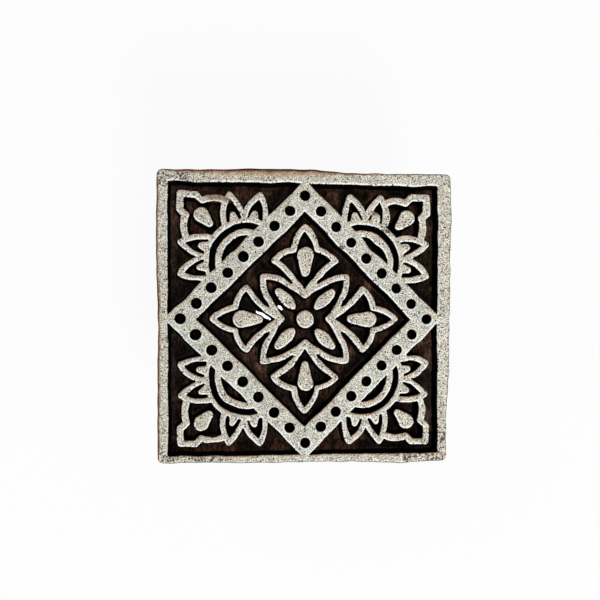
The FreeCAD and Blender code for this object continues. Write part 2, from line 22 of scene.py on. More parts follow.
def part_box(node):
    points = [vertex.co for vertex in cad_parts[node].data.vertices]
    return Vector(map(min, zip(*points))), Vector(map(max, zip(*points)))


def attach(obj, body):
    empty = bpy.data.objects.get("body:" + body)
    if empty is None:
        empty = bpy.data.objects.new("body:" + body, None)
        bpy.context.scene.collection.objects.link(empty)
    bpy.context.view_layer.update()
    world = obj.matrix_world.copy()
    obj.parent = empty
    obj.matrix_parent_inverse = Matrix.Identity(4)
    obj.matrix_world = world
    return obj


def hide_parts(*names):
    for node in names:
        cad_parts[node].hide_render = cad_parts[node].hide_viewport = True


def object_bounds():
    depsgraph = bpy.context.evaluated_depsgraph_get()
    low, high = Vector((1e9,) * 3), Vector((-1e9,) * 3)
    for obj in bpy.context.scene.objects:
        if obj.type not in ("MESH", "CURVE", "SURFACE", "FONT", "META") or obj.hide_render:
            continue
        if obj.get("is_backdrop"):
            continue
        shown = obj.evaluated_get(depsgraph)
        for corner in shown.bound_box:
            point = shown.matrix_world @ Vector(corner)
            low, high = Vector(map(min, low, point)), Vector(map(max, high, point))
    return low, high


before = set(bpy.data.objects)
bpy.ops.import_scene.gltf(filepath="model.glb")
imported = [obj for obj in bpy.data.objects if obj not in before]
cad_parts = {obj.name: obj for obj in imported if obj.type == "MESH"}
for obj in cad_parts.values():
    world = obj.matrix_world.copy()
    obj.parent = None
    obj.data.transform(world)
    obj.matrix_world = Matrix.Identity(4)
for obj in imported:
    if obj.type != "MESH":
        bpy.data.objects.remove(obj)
cad_low, cad_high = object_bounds()
MM = 0.001
print("nodes:", sorted(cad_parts))
print("box in mm:", [round(v / MM, 2) for v in (*cad_low, *cad_high)])

# %% [markdown]
# ## Where the camera stands
#
# The dots of the band are evenly spaced on the real block, so their places in the photograph give
# the view: almost straight down, from a quarter of a metre above the face, a little to the left of
# the middle and turned to the right by five and a half degrees. The lens follows from the size of
# the block in the frame, and the small upward shift only sets the block below the frame's middle.

# %% The camera
FRAME_PIXELS = 600
FOCAL_PIXELS = 727.4
PRINCIPAL_DROP_PIXELS = 18.8
FROM_FACE_MIDDLE = Vector((-25.76, -0.57, 248.1))
CAMERA_TURNS = (0.13, -5.53, 0.13)


def in_scene(name, data):
    """A new object for a mesh, a lamp or a camera, linked into the scene."""
    made = bpy.data.objects.new(name, data)
    bpy.context.scene.collection.objects.link(made)
    return made


camera_data = bpy.data.cameras.new("camera")
camera_data.sensor_width = 36.0
camera_data.lens = camera_data.sensor_width * FOCAL_PIXELS / FRAME_PIXELS
camera_data.shift_y = PRINCIPAL_DROP_PIXELS / FRAME_PIXELS
camera_data.clip_start = 0.01
camera = in_scene("camera", camera_data)
bpy.context.scene.camera = camera
camera.location = Vector((0, 0, cad_high.z)) + FROM_FACE_MIDDLE * MM
camera.rotation_euler = [math.radians(angle) for angle in CAMERA_TURNS]
print("lens:", round(camera_data.lens, 2), "mm, shift:", round(camera_data.shift_y, 4))

# %% [markdown]
# ## What the frame says about the block
#
# Every flat that looks up is at one of three levels: the printing face, the ground, and the bottom
# of the drilled dots. Adding up the area at each level names them without measuring anything here.

# %% Levels of the carved block
def flat_levels(mesh):
    """Area in square mm of the upward flats of a mesh, by level in mm."""
    mesh.calc_loop_triangles()
    areas = {}
    for triangle in mesh.loop_triangles:
        if triangle.normal.z > 0.999:
            level = round(mesh.vertices[triangle.vertices[0]].co.z / MM, 2)
            areas[level] = areas.get(level, 0) + triangle.area / MM**2
    return areas


block_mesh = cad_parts["carved_block"].data
block_low, block_high = [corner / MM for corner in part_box("carved_block")]
levels = flat_levels(block_mesh)
FACE = round(block_high.z, 2)
GROUND, DOT_FLOOR = sorted(set(levels) - {FACE}, key=levels.get, reverse=True)[:2]
HALF_SIDE = block_high.x
print("face, ground and dot floors at", FACE, GROUND, DOT_FLOOR, "mm")

# %% [markdown]
# ## The drawn line
#
# The triangles of the printing face meet the cuts along their free edges. Walking along those edges
# gives back the carver's drawing as closed lines: the edge of the block, the round dots, and the
# lines of the figure.

# %% Closed lines of the printing face
def free_edges(mesh, level):
    """Corners of the flat at a level, and the edges there that only one triangle uses."""
    corners = {}
    number = {}
    for vertex in mesh.vertices:
        spot = (round(vertex.co.x / MM, 3), round(vertex.co.y / MM, 3))
        number[vertex.index] = corners.setdefault(spot, len(corners))
    edges = set()
    for triangle in mesh.loop_triangles:
        ends = [mesh.vertices[i].co.z / MM for i in triangle.vertices]
        if min(ends) > level - 0.01:
            a, b, c = (number[i] for i in triangle.vertices)
            edges |= {(a, b), (b, c), (c, a)}
    free = {a: b for a, b in edges if (b, a) not in edges}
    return np.array(list(corners)), free


def closed_lines(points, onward):
    """Walks from corner to corner until each line comes back to its start."""
    lines = []
    while onward:
        start, corner = onward.popitem()
        line = [start]
        while corner != start:
            line.append(corner)
            corner = onward.pop(corner)
        lines.append(points[line])
    return lines


def area_of(line):
    """Area inside a closed line: positive when it runs counter-clockwise."""
    x, y = line.T
    return 0.5 * np.sum(x * np.roll(y, -1) - y * np.roll(x, -1))


def is_round(line):
    reach = np.linalg.norm(line - line.mean(0), axis=1)
    return len(line) > 8 and np.ptp(reach) < 0.05


drawn = sorted(closed_lines(*free_edges(block_mesh, FACE)), key=area_of)
block_edge = drawn.pop()
dots = [line for line in drawn if area_of(line) < 0 and is_round(line)]
figure = [line for line in drawn if not (area_of(line) < 0 and is_round(line))]
print(len(figure), "lines in the figure,", len(dots), "dots")

# %% [markdown]
# ## A hand that isn't a machine
#
# Nothing on the real block is exact. The gouge strays by a tenth or two of a millimetre, and it
# strays smoothly: a line that has gone left stays left for a while. A sum of a few long waves in
# chance directions does that, and a fixed seed makes it the same each time.

# %% Smooth wandering
def wander(x, y, wave, seed, waves=9):
    """A smooth number, mostly between -1 and 1, whose hills are about one wave apart, in mm."""
    chance = np.random.default_rng(seed)
    total = np.zeros(np.broadcast(x, y).shape)
    for _ in range(waves):
        heading, phase = chance.uniform(0, 2 * np.pi, 2)
        turn = 2 * np.pi / (wave * chance.uniform(0.7, 1.5))
        total += np.sin(turn * (x * np.cos(heading) + y * np.sin(heading)) + phase)
    return total / waves**0.5


def respaced(line, spacing):
    """A closed line with its points evenly spaced."""
    closed = np.vstack([line, line[:1]])
    run = np.concatenate([[0], np.cumsum(np.linalg.norm(np.diff(closed, axis=0), axis=1))])
    count = max(8, round(run[-1] / spacing))
    stops = np.linspace(0, run[-1], count, endpoint=False)
    return np.stack([np.interp(stops, run, closed[:, axis]) for axis in (0, 1)], 1)


def with_more_points(line, spacing):
    """A closed line with its corners kept and points added on its long runs."""
    pieces = []
    for start, end in zip(line, np.roll(line, -1, 0)):
        count = max(1, math.ceil(np.linalg.norm(end - start) / spacing))
        share = np.arange(count)[:, None] / count
        pieces.append(start + (end - start) * share)
    return np.vstack(pieces)


def strayed(line, reach, wave, seed):
    """The same line as a hand cuts it."""
    x, y = line.T
    return line + reach * np.stack([wander(x, y, wave, seed), wander(x, y, wave, seed + 1)], 1)


STRAY = 0.13
carved_lines = [strayed(with_more_points(line, 0.5), STRAY, 11.0, seed=3) for line in figure]
print("points on the cut lines:", sum(map(len, carved_lines)))

# %% [markdown]
# Beside that even wandering, some shapes of this block are plainly off their true place: the four
# petals of the middle flower are pinched, and some drops and leaves have slipped. Those are listed,
# each as a place, how far the pull reaches, and the pull to the right and upwards.

# %% Shapes that slipped
SIGNS = [(-1, -1), (-1, 1), (1, -1), (1, 1)]
PINCH = 0.5
SLIPPED = [(11.5 * a, 5.3 * b, 3.8, -PINCH * a, PINCH * b) for a, b in SIGNS]
SLIPPED += [(5.3 * a, 11.5 * b, 3.8, PINCH * a, -PINCH * b) for a, b in SIGNS]
SLIPPED += [
    (-8.5, 0.0, 3.0, 0.4, 0.0),
    (0.0, -8.5, 3.0, 0.0, 0.3),
    (0.0, 8.5, 3.0, 0.0, -0.2),
    (16.5, 0.0, 3.5, 0.25, 0.0),
    (29.2, 35.0, 3.0, 0.55, 0.0),
    (35.5, 33.5, 3.0, 0.3, 0.0),
    (34.8, 28.3, 3.0, 0.0, 0.35),
    (43.0, 35.0, 4.5, 0.35, 0.0),
    (42.5, 29.0, 3.0, 0.2, 0.0),
    (40.3, 12.6, 4.0, 0.1, -0.75),
    (41.0, 23.5, 4.0, 0.3, -0.3),
    (24.0, 25.2, 3.0, -0.8, -0.8),
    (39.8, -13.1, 4.0, 0.0, 0.65),
    (-40.3, 13.5, 4.0, -0.2, -0.4),
    (-13.5, 39.9, 3.5, 0.45, 0.1),
    (-13.4, -39.8, 3.5, 0.45, 0.0),
    (-23.0, 24.5, 3.5, 0.25, -0.25),
    (-42.0, -32.0, 5.0, 0.4, 0.0),
    (-46.6, 32.0, 14.0, -0.2, 0.0),
    (-46.6, -35.0, 14.0, 0.15, 0.0),
    (30.0, 46.6, 16.0, 0.0, -0.2),
    (-21.5, 0.5, 3.5, 0.3, -0.1),
    (-28.0, -27.8, 3.0, -0.35, -0.1),
    (20.5, 0.0, 3.5, 0.25, -0.1),
    (30.9, -5.4, 5.0, 0.0, 0.3),
    (1.0, -24.0, 4.0, 0.5, 0.0),
    (0.0, 22.0, 4.0, 0.2, 0.0),
    (-7.2, 7.2, 2.5, 0.8, 0.2),
    (7.2, 7.2, 2.5, 0.3, 0.1),
    (-7.2, -7.2, 2.5, 0.2, 0.4),
    (-37.0, 43.0, 6.0, 0.05, -0.3),
    (-42.0, -43.5, 5.0, 0.15, 0.25),
    (19.0, 5.0, 4.0, 0.1, -0.35),
    (19.0, -5.0, 4.0, 0.1, 0.35),
]


def slipped(line):
    """A line pulled out of place at the named spots."""
    moved = line.copy()
    for x, y, reach, right, up in SLIPPED:
        pull = np.exp(-(((line - (x, y)) / reach) ** 2).sum(1))
        moved += pull[:, None] * (right, up)
    return moved


carved_lines = [slipped(line) for line in carved_lines]
print("places where the drawing slipped:", len(SLIPPED))

# %% [markdown]
# ## A map of the distance to the cut
#
# The shape of a relief depends on one thing: how far each spot is from the nearest cut line, and on
# which side of it. Such a map rounds the corners where it is blurred, and its contour lines are the
# top, the middle and the foot of every wall. It could be had from a remesh as well, but a map keeps
# thin lines crisp with far fewer points.

# %% The distance map
PITCH = 0.1
MAP_REACH = 2.6
grid_axis = np.arange(-HALF_SIDE - 2, HALF_SIDE + 2, PITCH)
grid_size = len(grid_axis)
grid_x, grid_y = np.meshgrid(grid_axis, grid_axis)


def runs_of(lines):
    """Start and end of every straight run of the lines."""
    for line in lines:
        yield from zip(line, np.roll(line, -1, 0))


def distance_map(lines):
    """Distance from each spot of the grid to the nearest line, up to the map's reach."""
    nearest = np.full(grid_x.shape, MAP_REACH)
    for start, end in runs_of(lines):
        low = np.minimum(start, end) - MAP_REACH - grid_axis[0]
        high = np.maximum(start, end) + MAP_REACH - grid_axis[0]
        (left, bottom), (right, top) = (low / PITCH).astype(int), (high / PITCH).astype(int)
        window = np.s_[max(bottom, 0) : top + 1, max(left, 0) : right + 1]
        x, y = grid_x[window] - start[0], grid_y[window] - start[1]
        way = end - start
        share = np.clip((x * way[0] + y * way[1]) / max(way @ way, 1e-12), 0, 1)
        reach = np.hypot(x - share * way[0], y - share * way[1])
        np.minimum(nearest[window], reach, out=nearest[window])
    return nearest


def odd_side(lines):
    """True where an odd number of the lines goes round a spot: here, the ground."""
    flips = np.zeros((grid_size, grid_size + 1), int)
    for (x0, y0), (x1, y1) in runs_of(lines):
        rows = np.arange(
            math.ceil((min(y0, y1) - grid_axis[0]) / PITCH),
            math.ceil((max(y0, y1) - grid_axis[0]) / PITCH),
        )
        if len(rows):
            x = x0 + (grid_axis[rows] - y0) * (x1 - x0) / (y1 - y0)
            columns = np.ceil((x - grid_axis[0]) / PITCH).astype(int)
            np.add.at(flips, (rows, columns), 1)
    return np.cumsum(flips, axis=1)[:, :-1] % 2 == 1


def blurred(field, times):
    """Each pass softens corners by about one step of the grid."""
    for _ in range(times):
        for axis in (0, 1):
            field = (np.roll(field, 1, axis) + 2 * field + np.roll(field, -1, axis)) / 4
    return field


from_cut = distance_map(carved_lines)
from_cut[odd_side(carved_lines)] *= -1
from_cut = blurred(from_cut, 1)
print("map of", grid_size, "by", grid_size, "spots, ground share", round((from_cut < 0).mean(), 3))

# %% [markdown]
# ## The contour lines
#
# Wherever two neighbouring spots of the map lie on different sides of a level, the contour crosses
# between them. Each square of four spots joins its two crossings, and walking from square to square
# gives closed lines, just as it did on the printing face.

# %% Contours of a map
def contours(field, level):
    """Closed lines, in mm, along which a map reads level."""
    above = field > level
    spots = np.arange(field.size).reshape(field.shape)
    flat_ids, upright_ids = 2 * spots[:, :-1], 2 * spots[:-1, :] + 1
    flat, upright = above[:, :-1] != above[:, 1:], above[:-1] != above[1:]
    sides = np.stack([flat[:-1], upright[:, :-1], flat[1:], upright[:, 1:]], -1)
    names = np.stack(
        [flat_ids[:-1], upright_ids[:, :-1], flat_ids[1:], upright_ids[:, 1:]], -1
    )
    joined = {}
    for a, b in names[sides].reshape(-1, 2).tolist():
        joined.setdefault(a, []).append(b)
        joined.setdefault(b, []).append(a)
    chains = []
    while joined:
        start = next(iter(joined))
        chain, name = [start], joined.pop(start)[0]
        while name != start and name in joined:
            chain.append(name)
            ahead = joined.pop(name)
            name = ahead[0] if ahead[0] != chain[-2] else ahead[1]
        chains.append(crossings(field, level, np.array(chain)))
    return chains


def crossings(field, level, names):
    """Where the contour crosses each named side of a square."""
    row, column = np.divmod(names // 2, grid_size)
    upright = names % 2
    here = field[row, column]
    there = field[row + upright, column + 1 - upright]
    share = (level - here) / (there - here)
    x = grid_axis[column] + PITCH * share * (1 - upright)
    return np.stack([x, grid_axis[row] + PITCH * share * upright], 1)


print("lines at the top of the walls:", len(contours(from_cut, 0.0)))

# %% [markdown]
# ## Rounded tips
#
# The gouge leaves a corner of the ground sharp, but the tip of a petal is rounded, because thin
# short-grained wood would break off there. Shrinking the raised parts and growing them again by the
# same amount does exactly that: outward corners come back round and all the rest as it was.

# %% Rounding the raised tips
TIP_RADIUS = 0.75


def with_round_tips(field, radius):
    """A distance map whose raised parts keep only what a disc of that radius can fill."""
    core = [respaced(line, 0.35) for line in contours(field, radius) if len(line) > 8]
    return np.where(field > radius, field, np.minimum(field, radius - distance_map(core)))


from_cut = with_round_tips(from_cut, TIP_RADIUS)
print("ground share with round tips:", round((from_cut < 0).mean(), 3))

# %% [markdown]
# ## Nicks and unequal walls
#
# A line that was cut by hand is a little thicker here and thinner there, and its edge has lost a
# crumb in places. Both are small changes of the map. Each stout place is given as a spot, how far
# it reaches, and by how much the line is stouter there than drawn, or thinner where that is below
# zero.
#
# The walls lean, because the gouge goes in at a slant, and they don't all lean alike. So the map is
# divided by the width that the wall takes up: on the ground's side, 0 is the top of a wall and -1
# its foot.

# %% Crumbs, uneven lines and leaning walls
UNEVEN = 0.055
PARED = 0.11
STOUT = [
    (28.8, 35.2, 2.5, 0.35),
    (34.8, 28.3, 2.5, 0.2),
    (43.3, 37.8, 3.0, 0.25),
    (42.2, 30.4, 2.5, 0.2),
    (38.3, 43.6, 2.5, 0.2),
    (24.3, 25.4, 2.2, 0.3),
    (24.0, 36.5, 1.0, 0.9),
    (17.5, 0.0, 3.5, 0.35),
    (2.0, -17.0, 3.0, 0.2),
    (-16.0, -1.0, 3.0, 0.15),
    (0.0, 16.0, 3.0, 0.15),
    (6.2, -8.2, 2.0, 0.3),
    (0.0, 0.0, 3.0, 0.1),
    (-12.0, 26.0, 5.0, 0.15),
    (-46.7, 10.8, 5.0, 0.2),
    (-6.7, 30.2, 2.5, 0.3),
    (2.3, 30.7, 2.5, 0.25),
    (13.4, -40.3, 2.5, 0.2),
    (18.7, 40.5, 2.0, 0.2),
    (38.2, 9.6, 3.0, 0.2),
    (41.0, -6.6, 4.0, 0.2),
    (9.2, -27.6, 7.0, -0.25),
    (-40.6, 7.2, 4.0, -0.3),
    (-5.5, 42.4, 4.0, -0.3),
    (32.4, -4.0, 3.0, -0.3),
    (-35.8, -26.8, 2.0, -0.2),
    (-38.0, -45.0, 4.0, -0.15),
    (-23.9, 24.1, 3.0, -0.1),
    (39.9, -39.8, 3.0, -0.4),
    (-31.6, -41.6, 2.5, -0.25),
    (-34.5, 17.0, 2.5, -0.2),
    (-34.5, -17.0, 2.5, -0.2),
]
SLITS = [(24.5, 35.5), (15.5, 37.0), (37.5, 14.7), (37.0, 23.5)]
STOUT += [(a * x, b * y, 2.4, -0.27) for x, y in SLITS for a, b in SIGNS if (a, b) != (1, 1)]
NOTCHES = [(13.7, 5.2), (4.3, 13.1)]
STOUT += [(a * x, b * y, 1.5, -0.45) for x, y in NOTCHES for a, b in SIGNS]
CRUMB = 0.16
CRUMBS_FROM = 1.45
WALL_RUN = 0.5
from_cut += UNEVEN * wander(grid_x, grid_y, 3.2, seed=21) - PARED
for x, y, reach, stout in STOUT:
    from_cut += stout * np.exp(-((grid_x - x) ** 2 + (grid_y - y) ** 2) / reach**2)
crumbs = np.clip(wander(grid_x, grid_y, 1.5, seed=31) - CRUMBS_FROM, 0, 1)
from_cut -= 2 * CRUMB * crumbs
wall_run = WALL_RUN + 0.12 * wander(grid_x, grid_y, 9.0, seed=41)
slope = np.where(from_cut < 0, from_cut / wall_run, from_cut)


def read_map(field, x, y):
    """The map's value at any places, between its spots."""
    column = np.clip((np.asarray(x) - grid_axis[0]) / PITCH, 0, grid_size - 2)
    row = np.clip((np.asarray(y) - grid_axis[0]) / PITCH, 0, grid_size - 2)
    left, bottom = column.astype(int), row.astype(int)
    across, up = column - left, row - bottom
    low = field[bottom, left] * (1 - across) + field[bottom, left + 1] * across
    high = field[bottom + 1, left] * (1 - across) + field[bottom + 1, left + 1] * across
    return low * (1 - up) + high * up


print("walls take up", round(wall_run.min(), 2), "to", round(wall_run.max(), 2), "mm")

# %% [markdown]
# ## A section through a cut edge
#
# From the crown of a line to the ground there is always the same order of things: a flat, an edge
# eased by years of printing, a leaning wall, a hollow foot that the gouge leaves, and the ground.
# One short list of points says it, and every contour gets its height from that list.

# %% The section
RELIEF = FACE - GROUND
CROWN = 0.42
SECTION = [
    (-2.0, -RELIEF),
    (-1.35, -RELIEF + 0.07),
    (-1.0, -RELIEF + 0.35),
    (-0.66, -0.64 * RELIEF),
    (-0.33, -0.31 * RELIEF),
    (0.0, -0.14),
    (0.13, -0.045),
    (CROWN, 0.0),
]
section_at, section_height = np.array(SECTION).T
CONTOUR_SPACING = 0.35


def height_of(slope_value):
    return np.interp(slope_value, section_at, section_height)


# %% [markdown]
# ## Wear on the flats, gouge marks on the ground
#
# The flats are dished by a few hundredths of a millimetre and the border has sunk a little towards
# its outer edge. The ground was cleared with a small gouge in short strokes. Folding a wave back on
# itself makes the row of shallow troughs with a ridge between them that such strokes leave.

# %% Unevenness of flats and ground
def flats_wear(x, y):
    return 0.035 * wander(x, y, 14.0, seed=51) + 0.02 * wander(x, y, 4.0, seed=52)


STROKE_WIDE = 2.1


def gouge_marks(x, y):
    """Shallow troughs, in strokes that change direction over the block."""
    swing = 1.4 * wander(x, y, 30.0, seed=61)
    across = x * np.cos(swing) + y * np.sin(swing) + 0.5 * wander(x, y, 6.0, seed=62)
    troughs = np.abs(np.sin(np.pi * across / STROKE_WIDE))
    return 0.17 * troughs + 0.09 * wander(x, y, 2.6, seed=63)


print("gouge marks rise", np.round(np.ptp(gouge_marks(grid_x, grid_y)), 2), "mm at most")

# %% [markdown]
# Four drops of oil lie on the ground of this block. Each is given as a place, its half length and
# half width, and how far it is turned. A drop stands with a level top and a steep rim.

# %% Drops of oil
OIL = [
    (-14.2, 1.2, 3.9, 1.0, -28.0),
    (-8.3, 3.9, 1.7, 0.8, -50.0),
    (-1.9, 5.5, 0.8, 0.6, 0.0),
    (-33.6, -24.5, 0.9, 0.5, 30.0),
]
OIL_DEEP = 0.7


def oil_at(x, y):
    """1 in the middle of each drop of oil, 0 at its edge, and less outside."""
    most = np.full(np.shape(x), -2.0)
    for middle_x, middle_y, long, wide, heading in OIL:
        turn = math.radians(heading)
        along = (x - middle_x) * math.cos(turn) + (y - middle_y) * math.sin(turn)
        across = (y - middle_y) * math.cos(turn) - (x - middle_x) * math.sin(turn)
        most = np.maximum(most, 1 - (along / long) ** 2 - (across / wide) ** 2)
    return most


def with_oil(x, y, height):
    """The height where a drop of oil lies over it: a level top with a steep rim."""
    rim = np.clip(3 * oil_at(x, y), 0, 1)
    return np.where(rim > 0, np.maximum(height, OIL_DEEP * rim - RELIEF), height)


def relief_height(x, y):
    """Height over the printing face, in mm, below zero."""
    here = read_map(slope, x, y)
    flat = np.clip(here / CROWN, 0, 1)
    ground = np.clip((-here - 1.0) / 0.9, 0, 1)
    oil = oil_at(x, y)
    marks = gouge_marks(x, y) * np.clip(-oil, 0, 1)
    return with_oil(x, y, height_of(here) + flat * flats_wear(x, y) + ground * marks)


print("height over the middle boss:", round(float(relief_height(0.0, 0.0)), 3), "mm")

# %% [markdown]
# ## The outer edge of the block
#
# The blank was sawn by eye: the top side bows out, the right side leans in towards the bottom. Soft
# pushes at a few places along the edge say so. Inside the edge four more lines carry the corner
# that wear has rounded, which is much softer than the edges of the figure.

# %% The block's edge
BOWS = {
    "top": [
        (-50, 0.55), (-31, 0.85), (-20, 1.4), (-2, 1.53), (7, 1.25), (14, 0.65), (28, 0.6), (50, 0.9)
    ],
    "right": [(-37, -0.15), (-20, 0.9), (-6, 0.95), (8, 1.35), (24, 1.35), (34, 1.8), (50, 1.3)],
    "bottom": [(-31, -1.1), (-22, -0.7), (6, -0.85), (22, -0.45), (34, 0.1), (46, -0.55)],
    "left": [(-50, -0.2), (-14, -0.03), (-7, -0.3), (8, 0.14), (16, 0.42), (30, 0.58), (50, 0.38)],
}


def bow(side, along):
    """How far a side stands out of the true square, at places along it."""
    return np.interp(along, *np.transpose(BOWS[side]))


def bowed(line):
    """The true square with its sides pushed out or in."""
    x, y = line.T
    wider = np.where(x > 0, bow("right", y), bow("left", y)) / HALF_SIDE
    taller = np.where(y > 0, bow("top", x), bow("bottom", x)) / HALF_SIDE
    return np.stack([x * (1 + wider), y * (1 + taller)], 1)


outline = strayed(bowed(respaced(block_edge, 0.7)), 0.09, 7.0, seed=71)


def inwards(line, distance):
    """A closed counter-clockwise line moved to its left, which is into the block."""
    way = np.roll(line, -1, 0) - np.roll(line, 1, 0)
    left = np.stack([-way[:, 1], way[:, 0]], 1) / np.linalg.norm(way, axis=1)[:, None]
    return line + np.reshape(distance, (-1, 1)) * left


EDGE_DROP = 1.15
EDGE_SECTION = [(0.0, -EDGE_DROP), (0.22, -0.55), (0.55, -0.2), (1.0, -0.06), (1.5, 0.0)]
edge_lines = [(inwards(outline, inset), drop) for inset, drop in EDGE_SECTION]
print("edge of the block:", np.round(outline.min(0), 2), "to", np.round(outline.max(0), 2))

# %% [markdown]
# ## Gathering the points
#
# All the lines above, the rings of the dots and a loose scatter over the flats and the ground go
# into one triangulation that keeps every line as an edge. Its triangles are small where the shape
# turns and large where it's flat, which a plain grid can't do.

# %% Points and edges of the relief
class Cloud:
    """Points with heights, and the edges that the triangles have to keep."""

    def __init__(self):
        self.points, self.heights, self.edges = [], [], []

    def add(self, points, heights, closed=False):
        first = len(self.points)
        self.points += points.tolist()
        self.heights += np.broadcast_to(heights, len(points)).tolist()
        if closed:
            here = first + np.arange(len(points))
            self.edges += np.stack([here, np.roll(here, -1)], 1).tolist()

    def triangles(self):
        """Triangles over all the points inside the outermost edges, and each point's height."""
        flat = [Vector(point) for point in self.points]
        made = delaunay_2d_cdt(flat, self.edges, [], 1, 1e-4)
        points, faces, sources = np.array([tuple(p) for p in made[0]]), made[2], made[3]
        heights = [self.heights[of[0]] if of else np.nan for of in sources]
        return points, np.array(heights), np.array(faces)


relief = Cloud()
for line, drop in edge_lines:
    relief.add(line, drop, closed=True)
for level in section_at[1:]:
    for line in contours(slope, level):
        if len(line) * PITCH > 1.0:
            line = respaced(line, CONTOUR_SPACING)
            wear = np.clip(level / CROWN, 0, 1) * flats_wear(*line.T)
            relief.add(line, with_oil(*line.T, height_of(level) + wear), closed=True)
print("points on contours:", len(relief.points))

# %% [markdown]
# ## Drilled dots
#
# The dots were drilled, not carved: straight sides, a sharper rim and the shallow cone of the bit
# at the bottom. Each gets its own rings of points. The bit strayed a little from its mark, all the
# holes sit a tenth of a millimetre to the right and below the drawing, and those on the left are
# the wider ones, as in the photograph.

# %% Rings of the dots
DOT_POINTS = 32
DOT_DEEP = FACE - DOT_FLOOR
BIT_STRAY = 0.12
HOLE_WIDER = 0.11
DOT_SECTION = [
    (0.32, 0.0),
    (0.1, -0.03),
    (0.0, -0.13),
    (-0.06, -0.5 * DOT_DEEP),
    (-0.12, -DOT_DEEP + 0.1),
    (-0.3, -DOT_DEEP),
    (-1.0, -DOT_DEEP - 0.3),
]
turns = np.linspace(0, 2 * np.pi, DOT_POINTS, endpoint=False)
dot_places = []
for number, dot in enumerate(dots):
    middle = dot.mean(0)
    radius = np.linalg.norm(dot - middle, axis=1).mean()
    stray = [wander(*middle, 5.0, seed=81), wander(*middle, 5.0, seed=82)]
    middle = middle + BIT_STRAY * np.array(stray)
    middle = middle + (0.12 + 0.003 * middle[0], -0.1)
    radius += 0.04 * wander(*middle, 8.0, seed=83) + HOLE_WIDER - 0.0015 * middle[0]
    dot_places.append((*middle, radius))
    for outside, drop in DOT_SECTION:
        reach = radius + outside + 0.03 * np.sin(2 * turns + number)
        ring = middle + np.stack([reach * np.cos(turns), reach * np.sin(turns)], 1)
        relief.add(ring, drop + (flats_wear(*ring.T) if outside > 0.2 else 0.0), closed=True)
    relief.add(middle[None], -DOT_DEEP - 0.55)
print("dots:", len(dot_places), "mean radius", round(np.mean([p[2] for p in dot_places]), 3))

# %% [markdown]
# ## The scatter between the lines
#
# A square grid of points, each nudged by chance, avoids rows of look-alike triangles. Points too
# near a contour, a dot or the edge of the block would only make slivers, so they are left out.

# %% Points over flats and ground
SCATTER = 0.6
CLEAR_OF_EDGE = 2.6
GROUND_AT = -2.6
FLAT_AT = 0.6
chance = np.random.default_rng(5)
steps = np.arange(-HALF_SIDE, HALF_SIDE, SCATTER)
scatter = np.stack(np.meshgrid(steps, steps), -1).reshape(-1, 2)
scatter += chance.uniform(-0.3, 0.3, scatter.shape) * SCATTER
here = read_map(slope, *scatter.T)
clear = np.abs(scatter).max(1) < HALF_SIDE - CLEAR_OF_EDGE
clear &= (here > FLAT_AT) | (here < GROUND_AT)
for x, y, radius in dot_places:
    clear &= np.hypot(scatter[:, 0] - x, scatter[:, 1] - y) > radius + SCATTER
scatter = scatter[clear]
relief.add(scatter, relief_height(*scatter.T))
fine_steps = np.arange(-36.0, 14.0, 0.2)
drops = np.stack(np.meshgrid(fine_steps, fine_steps), -1).reshape(-1, 2)
drops = drops[(oil_at(*drops.T) > -0.3) & (read_map(slope, *drops.T) < -0.2)]
relief.add(drops, relief_height(*drops.T))
points, heights, faces = relief.triangles()
missing = np.isnan(heights)
heights[missing] = relief_height(*points[missing].T)
print(len(points), "points,", len(faces), "triangles,", int(missing.sum()), "added by the tool")

# %% [markdown]
# ## Sides and back
#
# The sides hang from the same edge line, ring below ring, so the seam closes by itself. A saw left
# faint waves on them, and they lean outwards towards the back by a few tenths of a millimetre. The
# back is flat, because the grip sits on it, with the bevel that keeps its edge from splitting.

# %% Rings of the sides
def side_ring(depth, inset=0.0):
    """The edge line, at a depth below the printing face, with saw marks."""
    ring = inwards(outline, inset)
    x, y = ring.T
    saw = 0.02 * np.sin(2.9 * depth + 0.11 * (x + y))
    saw += 0.06 * wander(x + depth, y - depth, 19.0, seed=91)
    lean = 0.006 * depth
    return inwards(ring, -lean - saw * min(1.0, depth / 4))


BLOCK_THICK = FACE - block_low.z
BEVEL = 1.0
side_depths = np.linspace(EDGE_DROP, BLOCK_THICK - BEVEL, 16)[1:]
side_rings = [(outline, EDGE_DROP)] + [(side_ring(depth), depth) for depth in side_depths]
side_rings.append((side_ring(BLOCK_THICK - 0.3, 0.75 * BEVEL), BLOCK_THICK - 0.3))
side_rings.append((side_ring(BLOCK_THICK, 1.6 * BEVEL), BLOCK_THICK))
print("rings down the sides:", len(side_rings))

# %% [markdown]
# ## One skin from three parts
#
# The block's skin has three parts: the carved face, the sides and the back. The face ends in the
# same line as the topmost ring of the sides, point for point, and the back begins with their
# lowest. So the three can be welded where points meet. Extruding the face down to the back would
# close it too, but then the sides would be as straight as the tool makes them.

# %% A mesh from parts
def joined_mesh(name, parts, weld=1e-5):
    """One mesh, in metres, from several lists of points in mm and faces, welded where they meet."""
    mesh = bpy.data.meshes.new(name)
    vertices, polygons = [], []
    for part_points, part_faces in parts:
        first = len(vertices)
        vertices += (np.asarray(part_points) * MM).tolist()
        polygons += [[first + i for i in face] for face in part_faces]
    mesh.from_pydata(vertices, [], polygons)
    shape = bmesh.new()
    shape.from_mesh(mesh)
    bmesh.ops.remove_doubles(shape, verts=shape.verts, dist=weld)
    bmesh.ops.recalc_face_normals(shape, faces=shape.faces)
    shape.to_mesh(mesh)
    shape.free()
    mesh.update()
    return mesh


def rings_to_faces(rings, count):
    """Four-sided faces between each closed ring and the next."""
    made = []
    for ring in range(rings - 1):
        for i in range(count):
            j = (i + 1) % count
            low, high = ring * count, (ring + 1) * count
            made.append((low + i, low + j, high + j, high + i))
    return made


